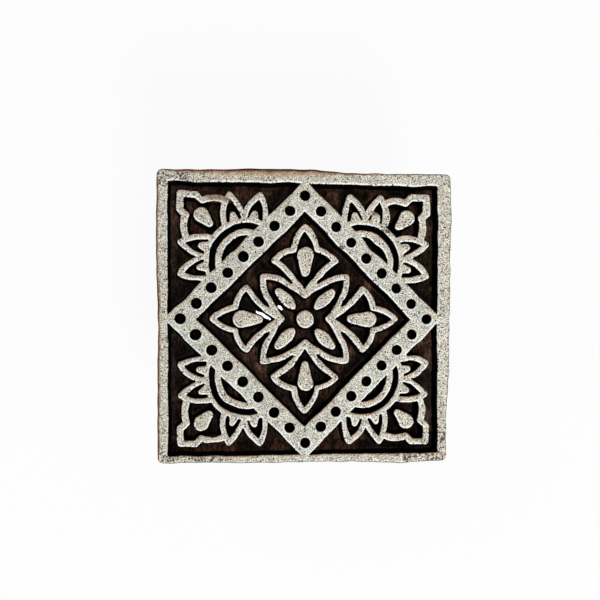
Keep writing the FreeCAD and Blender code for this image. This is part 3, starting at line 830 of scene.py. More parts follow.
def filled(line, spacing):
    """Points and triangles over the flat inside of a closed line."""
    cloud = Cloud()
    cloud.add(line, 0.0, closed=True)
    low, high = line.min(0), line.max(0)
    across = np.meshgrid(*[np.arange(a + spacing, b, spacing) for a, b in zip(low, high)])
    inner = np.stack(across, -1).reshape(-1, 2)
    gap = np.linalg.norm(inner[:, None] - line[None], axis=2).min(1)
    cloud.add(inner[gap > 0.6 * spacing], 0.0)
    found, _, triangles = cloud.triangles()
    return found, triangles


side_points = np.vstack(
    [np.column_stack([ring, np.full(len(ring), FACE - depth)]) for ring, depth in side_rings]
)
side_faces = rings_to_faces(len(side_rings), len(outline))
back_points, back_faces = filled(side_rings[-1][0], 3.0)
back_points = np.column_stack([back_points, np.full(len(back_points), block_low.z)])
face_points = np.column_stack([points, FACE + heights])
skin = [(face_points, faces), (side_points, side_faces), (back_points, back_faces)]
block = in_scene("carved_block_relief", joined_mesh("carved_block_relief", skin))
print("block mesh:", len(block.data.polygons), "faces")

# %% [markdown]
# ## Notes on the mesh for the finish
#
# A finish has to know where it is: near a cut edge, near the outer side, on the side that faces
# the light. The mesh can carry such numbers, one for each point, and a material reads them by name.
# Masks painted by hand would do the same, but numbers from the map fit the carving exactly.

# %% Numbers that the mesh carries
def note(mesh, name, values):
    """Keeps one number for each point of a mesh, which a material can read by name."""
    kept = mesh.attributes.new(name, "FLOAT", "POINT")
    kept.data.foreach_set("value", np.asarray(values, np.float32))


def places_of(mesh):
    """Every point of a mesh, in mm."""
    places = np.empty(len(mesh.vertices) * 3)
    mesh.vertices.foreach_get("co", places)
    return places.reshape(-1, 3) / MM


def distance_inwards(line, spots):
    """How far each spot is from a closed line, where that is under the map's reach."""
    far = np.full(len(spots), MAP_REACH)
    near = np.abs(spots).max(1) > HALF_SIDE - MAP_REACH - 1
    closest = np.full(near.sum(), MAP_REACH)
    for start, end in runs_of([line]):
        way = end - start
        share = np.clip((spots[near] - start) @ way / (way @ way), 0, 1)
        gap = np.linalg.norm(spots[near] - start - share[:, None] * way, axis=1)
        np.minimum(closest, gap, out=closest)
    far[near] = closest
    return far


def patches(spots, named):
    """A number that is 1 in the middle of each named patch and fades out over its reach."""
    total = np.zeros(len(spots))
    for x, y, reach in named:
        total += np.exp(-(((spots - (x, y)) / reach) ** 2).sum(1))
    return np.clip(total, 0, 1)


RIDGE_GAIN = 3.0
RIDGE_PASSES = 2


def ridges(mesh):
    """1 on sharp outward edges, 0 on flats, -1 in sharp hollows, softened over the neighbours."""
    ends = np.empty(len(mesh.edges) * 2, int)
    mesh.edges.foreach_get("vertices", ends)
    first, second = ends.reshape(-1, 2).T
    at = places_of(mesh)
    facing = np.empty(len(mesh.vertices) * 3)
    mesh.vertices.foreach_get("normal", facing)
    facing = facing.reshape(-1, 3)
    way = at[second] - at[first]
    way /= np.maximum(np.linalg.norm(way, axis=1), 1e-6)[:, None]
    uses = np.bincount(ends, minlength=len(at))
    bend = np.bincount(first, -(way * facing[first]).sum(1), len(at))
    bend += np.bincount(second, (way * facing[second]).sum(1), len(at))
    bend /= np.maximum(uses, 1)
    for _ in range(RIDGE_PASSES):
        around = np.bincount(first, bend[second], len(at))
        around += np.bincount(second, bend[first], len(at))
        bend = 0.5 * bend + 0.5 * around / np.maximum(uses, 1)
    return np.clip(RIDGE_GAIN * bend, -1, 1)


print("sharpest ridge of the block:", round(float(ridges(block.data).max()), 2))

# %% [markdown]
# ## Where the block has been knocked and rubbed
#
# Three places of the figure are rubbed down to bare brown wood, and the chalk has crumbled at the
# corners of the border and beside some dots. Those few places are listed, each with how far it
# reaches. The outer edge is bare along the top, less on the left, and hardly at all on the other
# two sides. Along the top the list says how far in the wood is bare, from left to right.

# %% The carved block's notes
RUBBED = [
    (-32.6, 41.2, 0.9),
    (-31.0, 41.1, 0.9),
    (-29.3, 41.0, 0.9),
    (-27.6, 40.8, 0.9),
    (-26.2, 40.5, 0.8),
    (-24.0, 42.0, 0.8),
    (23.3, 36.6, 1.0),
    (24.8, 36.8, 1.0),
    (-31.5, -38.5, 1.2),
]
CRUMBLED = [
    (-48.0, 47.5, 2.5),
    (-42.0, 47.8, 3.0),
    (-34.5, 48.0, 1.5),
    (28.0, 29.5, 2.0),
    (29.0, 31.0, 1.5),
    (12.5, 25.0, 1.6),
    (15.0, 23.0, 1.6),
    (-42.0, 3.6, 1.6),
    (-44.0, -48.3, 5.0),
    (-33.0, -48.5, 4.0),
    (44.0, -46.5, 5.0),
    (47.8, -41.0, 3.0),
    (35.0, -47.5, 3.0),
]
WORN_TOP = [
    (-50, 0.6), (-40, 0.9), (-28, 1.2), (-5, 1.4), (8, 1.1), (16, 0.6), (28, 0.35), (50, 0.2)
]
at = places_of(block.data)
flat_at = at[:, :2]
to_edge = read_map(from_cut, *flat_at.T)
to_dot = np.full(len(at), 99.0)
for x, y, radius in dot_places:
    reach = np.hypot(at[:, 0] - x, at[:, 1] - y)
    np.minimum(to_edge, reach - radius, out=to_edge)
    np.minimum(to_dot, reach, out=to_dot)
note(block.data, "from_cut", to_edge)
note(block.data, "on_band", np.clip((6.2 - to_dot) / 1.6, 0, 1))
from_side = distance_inwards(outline, flat_at)
under_edge = FACE - EDGE_DROP + 0.01
on_side = (at[:, 2] < under_edge) & (from_side < 1.8) | (at[:, 2] < GROUND - 1.5)
from_side = np.where(on_side, at[:, 2] - under_edge, from_side)
note(block.data, "from_side", from_side)
CORNER_BLEND = 4.0
north, west, east = [
    np.clip(towards - np.abs(beside), 0, CORNER_BLEND) / CORNER_BLEND
    for towards, beside in [(at[:, 1], at[:, 0]), (-at[:, 0], at[:, 1]), (at[:, 0], at[:, 1])]
]
worn_north = np.interp(at[:, 0], *np.transpose(WORN_TOP))
note(block.data, "side_wear", 0.06 + worn_north * north + 0.6 * west + 0.25 * east)
rise_north = np.gradient(blurred(from_cut, 4), PITCH, axis=0)
note(block.data, "looks_north", -read_map(rise_north, *flat_at.T))
note(block.data, "rubbed", patches(flat_at, RUBBED))
note(block.data, "crumbled", patches(flat_at, CRUMBLED))
note(block.data, "oily", oil_at(*flat_at.T))
note(block.data, "ridge", ridges(block.data))
block.data.shade_smooth()
block.data.set_sharp_from_angle(angle=math.radians(48))
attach(block, "root")
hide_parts("carved_block")
print("distance to the nearest cut:", round(to_edge.min(), 2), "to", round(to_edge.max(), 2))

# %% [markdown]
# ## The bar of the grip
#
# The grip is one stick of the same wood. A cove down each side takes the fingers, the crown fits
# the palm, and the ends slope so that the hand can tip the block up. It is one section carried
# along a line, so it's made as rings of points, and the section is read from the packed model. A
# box with bevels would be quicker, but its edges would all be alike. Here every ring is nudged on
# its own, which is what a knife leaves.

# %% The section of the grip
grip_at = places_of(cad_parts["grip"].data)
half_long, _, GRIP_TALL = grip_at.max(0)
crown_long = np.abs(grip_at[grip_at[:, 2] < 0.01, 0]).max()
end_at = grip_at[np.abs(grip_at[:, 0]) > crown_long - 0.01]
grip_heights = np.unique(end_at[:, 2].round(2))
end_levels = [end_at[np.abs(end_at[:, 2] - height) < 0.006] for height in grip_heights]
grip_halves = np.array([np.abs(level[:, 1]).max() for level in end_levels])
grip_ends = np.array([np.abs(level[:, 0]).max() for level in end_levels])
right_side = np.column_stack([grip_halves, grip_heights])
whole_section = np.vstack([right_side, right_side[::-1] * (-1, 1)])
print("grip section:", len(whole_section), "points,", round(area_of(whole_section)), "square mm")


# %% The whittled bar
def softened(line, times):
    """A closed line whose corners a knife and a hand have taken off."""
    for _ in range(times):
        line = (np.roll(line, 1, 0) + 2 * line + np.roll(line, -1, 0)) / 4
    return line


END_ROUND = 1.6
KNIFE_STROKE = 3.4
bar_section = softened(respaced(whole_section, 0.7), 4)
bar_section[:, 1] *= GRIP_TALL / bar_section[:, 1].max()


def bar_ring(from_end, side):
    """The section at a distance from one end of the bar, on the side -1 or 1 of its middle."""
    short = max(0.0, END_ROUND - from_end)
    inset = END_ROUND - math.sqrt(END_ROUND**2 - min(short, END_ROUND - 0.01) ** 2)
    y, z = inwards(bar_section, inset).T
    x = side * (np.interp(z, grip_heights, grip_ends) - from_end)
    free = np.clip((GRIP_TALL - 0.3 - z) / 2, 0, 1)
    in_cove = np.exp(-(((z - 0.53 * GRIP_TALL) / (0.22 * GRIP_TALL)) ** 2))
    along = x + 0.35 * z + 1.5 * wander(x, y, 9.0, seed=101)
    stroke = np.abs(np.sin(np.pi * along / KNIFE_STROKE))
    nudge = 0.22 * wander(x, y + 2 * z, 17.0, seed=102) + 0.09 * wander(x, 3 * z + y, 4.0, seed=103)
    nudge -= 0.16 * stroke * in_cove + 0.25
    moved = inwards(np.stack([y, z], 1), -free * nudge)
    return np.column_stack([x, moved[:, 0], np.maximum(moved[:, 1], 0.0)])


def bar_rings():
    """Rings from one end to the other, close together where the ends are rounded."""
    near = [0.0, 0.08, 0.25, 0.5, 0.85, 1.25, 1.8, 2.5]
    half = [*near, *np.linspace(3.3, half_long, 48)]
    left = [bar_ring(distance, -1) for distance in half]
    return left + [bar_ring(distance, 1) for distance in half[-2::-1]]


def end_cap(ring, steps=6):
    """Rings that shrink to a point, which close an end of the bar."""
    middle = ring.mean(0)
    shares = np.linspace(1, 0.02, steps)[1:]
    return [middle + (ring - middle) * share for share in shares]


rings = bar_rings()
rings = end_cap(rings[0])[::-1] + rings + end_cap(rings[-1])
bar_count = len(bar_section)
last_ring = (len(rings) - 1) * bar_count
bar_faces = rings_to_faces(len(rings), bar_count)
bar_faces += [tuple(range(bar_count)), tuple(range(last_ring, last_ring + bar_count))]
bar_mesh = joined_mesh("whittled_grip", [(np.vstack(rings), bar_faces)])
print("grip:", len(rings), "rings of", bar_count, "points")

# %% [markdown]
# ## Nails let into the crown
#
# Four wire nails hold the grip, and each head is punched just below the crown so that it doesn't
# scratch the palm. The hammer crushes the wood round it into a shallow funnel. That hole is cut
# with a boolean, since it's a clean round cut through a curved skin, and the nails are turned: one
# profile swept round, with an off-round head and dents in it.

# %% Turned shapes
TURN_POINTS = 36


def turned(profile, middle, seed, off_round=0.03, dents=0.0):
    """A profile of (reach, height) swept round a nail's place, and not quite round."""
    around = np.linspace(0, 2 * np.pi, TURN_POINTS, endpoint=False)
    phase = np.random.default_rng(seed).uniform(0, 2 * np.pi, 2)
    wobble = 1 + off_round * (np.sin(2 * around + phase[0]) + 0.6 * np.sin(3 * around + phase[1]))
    made = []
    for reach, height in profile:
        x = middle[0] + reach * wobble * np.cos(around)
        y = middle[1] + reach * wobble * np.sin(around)
        made.append(np.column_stack([x, y, height + dents * wander(x, y, 1.7, seed)]))
    last = (len(made) - 1) * TURN_POINTS
    made_faces = rings_to_faces(len(made), TURN_POINTS)
    made_faces += [tuple(range(TURN_POINTS)), tuple(range(last, last + TURN_POINTS))]
    return np.vstack(made), made_faces


nails = {}
for name in sorted(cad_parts):
    if name.startswith("nail"):
        low, high = [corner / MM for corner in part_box(name)]
        nails[name] = (0.5 * (low.x + high.x), 0.5 * (low.y + high.y), low.z, high.z)
HEAD_REACH = 0.5 * (high.x - low.x)
print("nails at:", {name: np.round(place, 1).tolist() for name, place in nails.items()})

# %% Holes for the heads
FUNNEL = [(1.22, -1.0), (1.2, -0.05), (1.1, 0.25), (1.05, 0.7), (1.04, 1.9)]


def cut_away(mesh, cutter_parts, name):
    """A mesh with other closed shapes taken out of it."""
    whole = in_scene(name, mesh)
    cutter = in_scene("cutter", joined_mesh("cutter", cutter_parts))
    boolean = whole.modifiers.new("holes", "BOOLEAN")
    boolean.operation = "DIFFERENCE"
    boolean.solver = "EXACT"
    boolean.object = cutter
    ready = whole.evaluated_get(bpy.context.evaluated_depsgraph_get())
    result = bpy.data.meshes.new_from_object(ready)
    whole.modifiers.clear()
    whole.data = result
    bpy.data.objects.remove(cutter)
    return whole


cutters = [
    turned([(HEAD_REACH * reach, height) for reach, height in FUNNEL], place, seed=110 + i)
    for i, place in enumerate(nails.values())
]
grip = cut_away(bar_mesh, cutters, "whittled_grip")
note(grip.data, "ridge", ridges(grip.data))
grip.data.shade_smooth()
grip.data.set_sharp_from_angle(angle=math.radians(50))
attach(grip, "root")
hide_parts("grip")
print("grip mesh:", len(grip.data.polygons), "faces")

# %% The nails
SHANK = 0.47


def nail_profile(foot, tip):
    """Reach and height from the middle of the head, round its rim, up the shank to the point."""
    head = [(0.06, 0.06), (0.3, 0.03), (0.55, 0.04), (0.78, 0.13), (0.92, 0.3), (0.99, 0.55)]
    head += [(0.99, 0.85), (0.9, 1.12), (SHANK + 0.1, 1.2), (SHANK + 0.02, 1.4), (SHANK, 2.0)]
    shank = [(SHANK, height) for height in (12.0, 24.0, tip - foot - 5.0)]
    point = [(0.38, tip - foot - 4.0), (0.2, tip - foot - 2.0), (0.03, tip - foot)]
    return [(HEAD_REACH * reach, foot + height) for reach, height in head + shank + point]


nail_pieces = []
for number, (name, place) in enumerate(nails.items()):
    shape = turned(nail_profile(*place[2:]), place, seed=120 + number, off_round=0.018, dents=0.035)
    nail = in_scene(f"forged_{name}", joined_mesh(f"forged_{name}", [shape]))
    note(nail.data, "ridge", ridges(nail.data))
    nail.data.shade_smooth()
    nail.data.set_sharp_from_angle(angle=math.radians(50))
    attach(nail, "root")
    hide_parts(name)
    nail_pieces.append(nail)
print("nails:", len(nail_pieces), "of", len(nail_pieces[0].data.polygons), "faces")

# %% [markdown]
# ## Making nodes from code
#
# Dragging nodes is fine for one material. For three that share their parts it's quicker to write
# them, and a few short helpers keep the script readable: each adds one node, joins what it's given
# and hands back its output.

# %% Helpers for nodes
class Nodes:
    """Adds nodes to one tree. An input that is given another node's output is joined to it."""

    def __init__(self, tree):
        self.tree = tree

    def fill(self, socket, value):
        if isinstance(value, bpy.types.NodeSocket):
            self.tree.links.new(value, socket)
        else:
            socket.default_value = value

    def add(self, kind, settings=None, **inputs):
        node = self.tree.nodes.new(kind)
        for name, value in (settings or {}).items():
            setattr(node, name, value)
        for name, value in inputs.items():
            self.fill(node.inputs[name.replace("_", " ")], value)
        return node

    def calc(self, operation, *values):
        node = self.add("ShaderNodeMath", {"operation": operation})
        for socket, value in zip(node.inputs, values):
            self.fill(socket, value)
        return node.outputs[0]

    def plus(self, first, second):
        return self.calc("ADD", first, second)

    def less(self, first, second):
        return self.calc("SUBTRACT", first, second)

    def times(self, first, second):
        return self.calc("MULTIPLY", first, second)

    def move(self, operation, first, second):
        """Sums on places rather than on single numbers."""
        node = self.add("ShaderNodeVectorMath", {"operation": operation})
        self.fill(node.inputs[0], first)
        self.fill(node.inputs[3 if operation == "SCALE" else 1], second)
        return node.outputs[0]

    def blend(self, share, first, second):
        node = self.add("ShaderNodeMix", {"data_type": "RGBA"})
        for number, value in ((0, share), (6, first), (7, second)):
            self.fill(node.inputs[number], value)
        return node.outputs[2]

    def shade(self, colour, strength):
        """A colour made lighter or darker by a number."""
        grey = self.add("ShaderNodeCombineColor", Red=strength, Green=strength, Blue=strength)
        node = self.add("ShaderNodeMix", {"data_type": "RGBA", "blend_type": "MULTIPLY"})
        for number, value in ((0, 1.0), (6, colour), (7, grey.outputs[0])):
            self.fill(node.inputs[number], value)
        return node.outputs[2]

    def between(self, value, low, high, bottom=0.0, top=1.0):
        """A smooth step from bottom to top as value goes from low to high."""
        node = self.add("ShaderNodeMapRange", {"interpolation_type": "SMOOTHSTEP"}, Value=value)
        ends = {"From Min": low, "From Max": high, "To Min": bottom, "To Max": top}
        for name, number in ends.items():
            self.fill(node.inputs[name], number)
        return node.outputs[0]

    def noise(self, place, size, detail=2.0, roughness=0.5):
        """Smooth noise whose lumps are about size mm."""
        made = self.add(
            "ShaderNodeTexNoise", Vector=place, Scale=1.0 / size, Detail=detail, Roughness=roughness
        )
        return made.outputs["Fac"]

    def bump(self, height, deep, strength):
        """The lean of a fine relief that is about deep mm high, from a map of its heights."""
        node = self.add("ShaderNodeBump", Height=height, Distance=deep * MM, Strength=strength)
        return node.outputs["Normal"]

    def noted(self, name):
        """A number that the mesh carries."""
        return self.add("ShaderNodeAttribute", {"attribute_name": name}).outputs["Fac"]

    def place(self):
        """The place on the object, in mm."""
        return self.move("SCALE", self.add("ShaderNodeTexCoord").outputs["Object"], 1 / MM)

    def use(self, group, **inputs):
        return self.add("ShaderNodeGroup", {"node_tree": group}, **inputs).outputs


def new_material(name):
    """A material, a helper that adds nodes to it, and its shader."""
    material = bpy.data.materials.new(name)
    material.use_nodes = True
    return material, Nodes(material.node_tree), material.node_tree.nodes["Principled BSDF"]


print("helpers:", [name for name in vars(Nodes) if not name.startswith("_")])

# %% [markdown]
# ## Effects shared by several finishes
#
# Pores, grain and wear turn up on more than one piece, so each is a group of nodes with named
# inputs. A group puts out only masks and values, and each material turns them into its own colours.
# The specks come from cells: each cell has a spot in it or hasn't, and a little noise in the place
# makes the spots ragged.

# %% Specks
def new_group(name, inputs, outputs):
    """An empty node group: its inputs have starting values, and its outputs are numbers."""
    group = bpy.data.node_groups.new(name, "ShaderNodeTree")
    for label, value in inputs.items():
        kind = "NodeSocketVector" if isinstance(value, tuple) else "NodeSocketFloat"
        socket = group.interface.new_socket(label, in_out="INPUT", socket_type=kind)
        socket.default_value = value
    for label in outputs:
        group.interface.new_socket(label, in_out="OUTPUT", socket_type="NodeSocketFloat")
    nodes = Nodes(group)
    given = nodes.add("NodeGroupInput").outputs
    return group, nodes, given, nodes.add("NodeGroupOutput").inputs


def make_specks():
    """Small marks scattered over a surface, such as open pores, pits and rust spots."""
    group, nodes, given, result = new_group(
        "specks", {"Place": (0.0, 0.0, 0.0), "Gap": 1.0, "Share": 0.5, "Size": 0.4}, ["Mask"]
    )
    shrunk = nodes.move("SCALE", given["Place"], nodes.calc("DIVIDE", 1.0, given["Gap"]))
    ragged = nodes.add("ShaderNodeTexNoise", Vector=shrunk, Scale=2.3, Detail=1.0)
    spread = nodes.move("SCALE", ragged.outputs["Color"], 0.35)
    cells = nodes.add("ShaderNodeTexVoronoi", Vector=nodes.move("ADD", shrunk, spread), Scale=1.0)
    chance_of = nodes.add("ShaderNodeSeparateColor", Color=cells.outputs["Color"]).outputs
    there = nodes.calc("LESS_THAN", chance_of["Red"], given["Share"])
    reach = nodes.times(given["Size"], nodes.plus(chance_of["Green"], 0.45))
    spot = nodes.between(cells.outputs["Distance"], reach, nodes.times(reach, 0.55))
    nodes.fill(result["Mask"], nodes.times(spot, there))
    return group


SPECKS = make_specks()
print("group:", SPECKS.name)


# %% [markdown]
# The grain runs along X in all the wood here. Squeezing the place along X draws every noise out
# into fibres. The growth rings are circles about a line that lies well outside the piece, so on the
# flats they show as long, slightly wavy bands, and on the end of the bar as arcs, without any extra
# work.

# %% Wood grain
SQUEEZE_ALONG = (0.05, 1.0, 1.0)
PITH = (0.0, 31.0, -44.0)


def make_grain():
    """Growth rings, fibres and open pores of wood whose grain runs along X."""
    group, nodes, given, result = new_group(
        "wood_grain", {"Place": (0.0, 0.0, 0.0), "Ring Gap": 3.0}, ["Rings", "Fibres", "Pores"]
    )
    drawn_out = nodes.move("MULTIPLY", given["Place"], SQUEEZE_ALONG)
    swirl = nodes.times(nodes.noise(drawn_out, 9.0, detail=3.0), 7.0)
    from_pith = nodes.move("SUBTRACT", given["Place"], PITH)
    axes = nodes.add("ShaderNodeSeparateXYZ", Vector=from_pith).outputs
    squares = [nodes.times(axes[axis], axes[axis]) for axis in ("Y", "Z")]
    reach = nodes.plus(nodes.calc("SQRT", nodes.plus(*squares)), swirl)
    unequal = nodes.noise(nodes.add("ShaderNodeCombineXYZ", X=reach).outputs[0], 7.0, detail=2.0)
    years = nodes.calc("DIVIDE", nodes.plus(reach, nodes.times(unequal, 9.0)), given["Ring Gap"])
    in_year = nodes.calc("FRACT", years)
    late = nodes.times(nodes.between(in_year, 0.0, 0.8), nodes.between(in_year, 1.0, 0.86))
    whole_years = nodes.calc("FLOOR", years)
    luck = nodes.add("ShaderNodeTexWhiteNoise", {"noise_dimensions": "1D"}, W=whole_years)
    late = nodes.times(late, nodes.between(luck.outputs["Value"], 0.0, 1.0, 0.35, 1.0))
    nodes.fill(result["Rings"], late)
    nodes.fill(result["Fibres"], nodes.noise(drawn_out, 0.5, detail=4.0, roughness=0.7))
    pores = nodes.use(SPECKS, Place=drawn_out, Gap=0.7, Share=0.5, Size=0.3)
    nodes.fill(result["Pores"], pores["Mask"])
    return group


GRAIN = make_grain()
print("group:", GRAIN.name, [item.name for item in GRAIN.interface.items_tree])


# %% [markdown]
# Wear and grime are two sides of one thing: what a hand touches is rubbed bright, and what it can't
# reach keeps its dirt. The ridge numbers say which is which. Noise breaks both up, because an even
# line of wear along an edge is the first thing that gives a rendering away.

# %% Wear and grime
def make_wear():
    """Rubbed ridges and dirty hollows, from the ridge numbers of a mesh."""
    group, nodes, given, result = new_group(
        "wear", {"Place": (0.0, 0.0, 0.0), "Ridge": 0.0, "Amount": 0.5}, ["Worn", "Grime"]
    )
    broken = nodes.less(nodes.noise(given["Place"], 2.2, detail=4.0, roughness=0.7), 0.5)
    level = nodes.plus(given["Ridge"], nodes.times(broken, 1.1))
    start = nodes.less(0.75, given["Amount"])
    nodes.fill(result["Worn"], nodes.between(level, start, nodes.plus(start, 0.4)))
    cloud = nodes.noise(given["Place"], 11.0, detail=4.0, roughness=0.6)
    hollow = nodes.less(cloud, nodes.times(given["Ridge"], 0.4))
    nodes.fill(result["Grime"], nodes.between(hollow, 0.42, 0.66))
    return group


WEAR = make_wear()
print("group:", WEAR.name)


# %% [markdown]
# ## The carved block's finish: chalk
#
# One material covers the whole block, because on the real one the pale face, the dark ground and
# the brown sides run into each other. It is written in four parts, and the first is the chalk.
# Chalk lies on wood that printing has soaked, so it is warm in some patches and cool in others,
# and open pores show through it. The rim of every line is lighter, most where it faces the light:
# that is a painted highlight. Noise of three sizes does the patches. The rim comes from the numbers
# on the mesh, since no noise can know where a rim is.

# %% Chalk on the flats
class Surface:
    """What every part of the finish reads: the place, the fine noise and the numbers on the mesh."""

    def __init__(self, n):
        self.place = n.place()
        self.axes = n.add("ShaderNodeSeparateXYZ", Vector=self.place).outputs
        self.fine = n.noise(self.place, 0.42, detail=1.0, roughness=0.6)
        self.from_cut, self.from_side = n.noted("from_cut"), n.noted("from_side")
        self.rubbed, self.crumbled = n.noted("rubbed"), n.noted("crumbled")
        self.side_wear, self.looks_north = n.noted("side_wear"), n.noted("looks_north")
        self.on_band, self.oily, self.ridge = n.noted("on_band"), n.noted("oily"), n.noted("ridge")


def open_pores(n, s):
    """Pits and small specks in the chalk, which go straight down. The band has fewer pits."""
    downwards = n.move("MULTIPLY", s.place, (1.0, 1.0, 0.05))
    share = n.less(n.plus(0.7, n.times(s.crumbled, 0.4)), n.times(s.on_band, 0.42))
    size = n.plus(0.37, n.times(s.crumbled, 0.3))
    pits = n.use(SPECKS, Place=downwards, Gap=0.85, Share=share, Size=size)["Mask"]
    return pits, n.use(SPECKS, Place=downwards, Gap=0.55, Share=0.55, Size=0.46)["Mask"]


def chalk_tone(n, s, pits, small):
    """Colour of the whitened flats."""
    patchy = n.plus(n.noise(s.place, 1.6, detail=3.0, roughness=0.65), n.times(s.on_band, 0.1))
    warm, cool = (0.705, 0.64, 0.535, 1), (0.625, 0.64, 0.555, 1)
    tone = n.blend(n.between(patchy, 0.35, 0.65), warm, cool)
    core = n.less(n.between(s.from_cut, 0.3, 0.8), n.between(s.from_cut, 1.1, 1.9))
    core = n.times(core, n.less(1.0, s.on_band))
    tone = n.blend(n.times(core, 0.45), tone, (0.66, 0.58, 0.49, 1))
    tone = n.shade(tone, n.between(n.noise(s.place, 2.6, 2.0), 0.3, 0.7, 0.84, 1.1))
    tone = n.shade(tone, n.between(s.fine, 0.38, 0.62, 0.43, 1.39))
    # Painted highlight: each line's rim is lightened, strongest on the edges that face the south
    # light.
    rim = n.between(n.plus(s.from_cut, n.times(s.fine, 0.6)), 0.95, 0.5)
    south = n.between(s.looks_north, 0.25, -0.5)
    rim = n.times(rim, n.between(south, 0.0, 1.0, 0.12, 0.85))
    tone = n.blend(rim, tone, (0.95, 0.96, 0.93, 1))
    tone = n.shade(tone, n.between(s.axes["X"], -55.0, 55.0, 0.94, 1.06))
    tone = n.blend(n.times(small, 0.68), tone, (0.25, 0.2, 0.15, 1))
    return n.blend(n.times(pits, 0.9), tone, (0.05, 0.035, 0.025, 1))


# %% [markdown]
# ## Bare wood at the rim
#
# Towards the outer edge the chalk has gone: first the wood is tan, then brown, and the edge itself
# is nearly black. The three are the same mask at three distances, and each distance is a share of
# the wear that the mesh carries for that side. A noise of three millimetres makes the border
# ragged. The north sides of the figure show a line of tan too: partly chalk that wore off there
# first, and partly painted shade on the edges that face away from the light.

# %% Bare wood over the chalk
RUBBED_TONE = (0.2, 0.095, 0.05, 1)


def with_bare_wood(n, s, top):
    """The flats where they have lost their chalk: the outer rim, north edges and rubbed places.
    The tan on the north edges is partly painted shade.
    """
    uneven = n.times(n.less(n.noise(s.place, 3.0, 4.0, 0.7), 0.5), 1.6)
    inward = n.plus(s.from_side, uneven)
    tan_to = n.times(s.side_wear, 1.75)
    tan = n.between(inward, tan_to, n.times(tan_to, 0.5))
    # Worn chalk and painted shade together: edges facing north, away from the light, are tinted tan.
    north = n.times(n.between(s.looks_north, 0.25, 0.9), n.between(s.from_cut, 0.75, 0.1))
    north = n.times(north, n.between(n.noise(s.place, 5.0, 2.0), 0.35, 0.65, 0.3, 0.9))
    tan_tone = n.shade((0.4, 0.215, 0.105, 1), n.between(s.fine, 0.36, 0.64, 0.6, 1.3))
    top = n.blend(n.times(n.calc("MAXIMUM", tan, north), 0.88), top, tan_tone)
    rubbed = n.times(s.rubbed, n.between(s.fine, 0.3, 0.6, 0.2, 1.0))
    top = n.blend(rubbed, top, RUBBED_TONE)
    brown = n.between(inward, s.side_wear, n.times(s.side_wear, 0.5))
    top = n.blend(n.times(brown, 0.85), top, (0.08, 0.036, 0.016, 1))
    black_to = n.less(n.times(s.side_wear, 0.75), 0.3)
    outermost = n.plus(s.from_side, n.times(uneven, 0.25))
    black = n.between(outermost, black_to, n.less(black_to, 0.25))
    return n.blend(black, top, (0.006, 0.0015, 0.001, 1))


# %% [markdown]
# ## Walls and ground
#
# Down between the lines the wood is soaked with oil and old colour. The walls, the ground just
# beside them and the bottoms of the dots are near-black: the soaked wood, with painted shade over it.
# The ground is reddish in places, and a thin pale line along the foot of a wall is a painted
# highlight. The height tells wall from ground, and the stretched noise is the torn grain that a
# gouge leaves.

# %% The dark wood between the lines
def ground_tone(n, s):
    """Soaked wood with streaks, specks of dust, and scuffs beside the left border."""
    reddish = n.between(n.noise(s.place, 9.0, detail=2.0), 0.46, 0.64)
    tone = n.blend(reddish, (0.0125, 0.0072, 0.0045, 1), (0.078, 0.035, 0.0225, 1))
    streak = n.noise(n.move("MULTIPLY", s.place, (1.3, 0.45, 1.0)), 0.8, 5.0, 0.75)
    tone = n.shade(tone, n.between(streak, 0.38, 0.68, 0.2, 3.0))
    dust = n.use(SPECKS, Place=s.place, Gap=1.6, Share=0.2, Size=0.22)["Mask"]
    tone = n.blend(n.times(dust, 0.3), tone, (0.11, 0.10, 0.09, 1))
    scuffed = n.times(n.between(s.axes["X"], -43.3, -44.6), n.between(streak, 0.4, 0.65))
    return n.blend(n.times(scuffed, 0.6), tone, (0.028, 0.021, 0.02, 1))


def low_tone(n, s):
    """Everything below the printing face that isn't the outside of the block."""
    # Painted shade over the soaked wood: walls, the ground beside them and the dot bottoms go
    # near-black.
    above_ground = n.between(s.axes["Z"], GROUND + 0.35, GROUND + 0.6)
    soaked_and_shaded_walls = n.calc("MAXIMUM", n.between(s.from_cut, -1.1, -0.6), above_ground)
    tone = n.blend(soaked_and_shaded_walls, ground_tone(n, s), (0.0016, 0.0011, 0.0008, 1))
    # Painted highlight: a thin pale line on the ground along the foot of each wall.
    foot = n.times(n.between(s.from_cut, -1.6, -1.35), n.between(s.from_cut, -1.0, -1.25))
    foot = n.times(foot, n.between(n.noise(s.place, 7.0, 3.0), 0.42, 0.6))
    tone = n.blend(n.times(foot, 0.8), tone, (0.042, 0.037, 0.032, 1))
    return n.blend(n.times(s.rubbed, n.between(s.from_cut, -0.7, -0.3)), tone, RUBBED_TONE)


# %% [markdown]
# ## The outer sides, and the whole finish
#
# The sides are bare sheesham with its rings, pores, wear and grime. Colour that ran over the edge
# has soaked down from the face in streaks. They come from a noise that is stretched along Z and
# pushes the border of the dark part up and down. The last function joins the four parts by height
# and by the distance from the outer edge. Only the drops of oil get a coat, which mirrors the
# light.

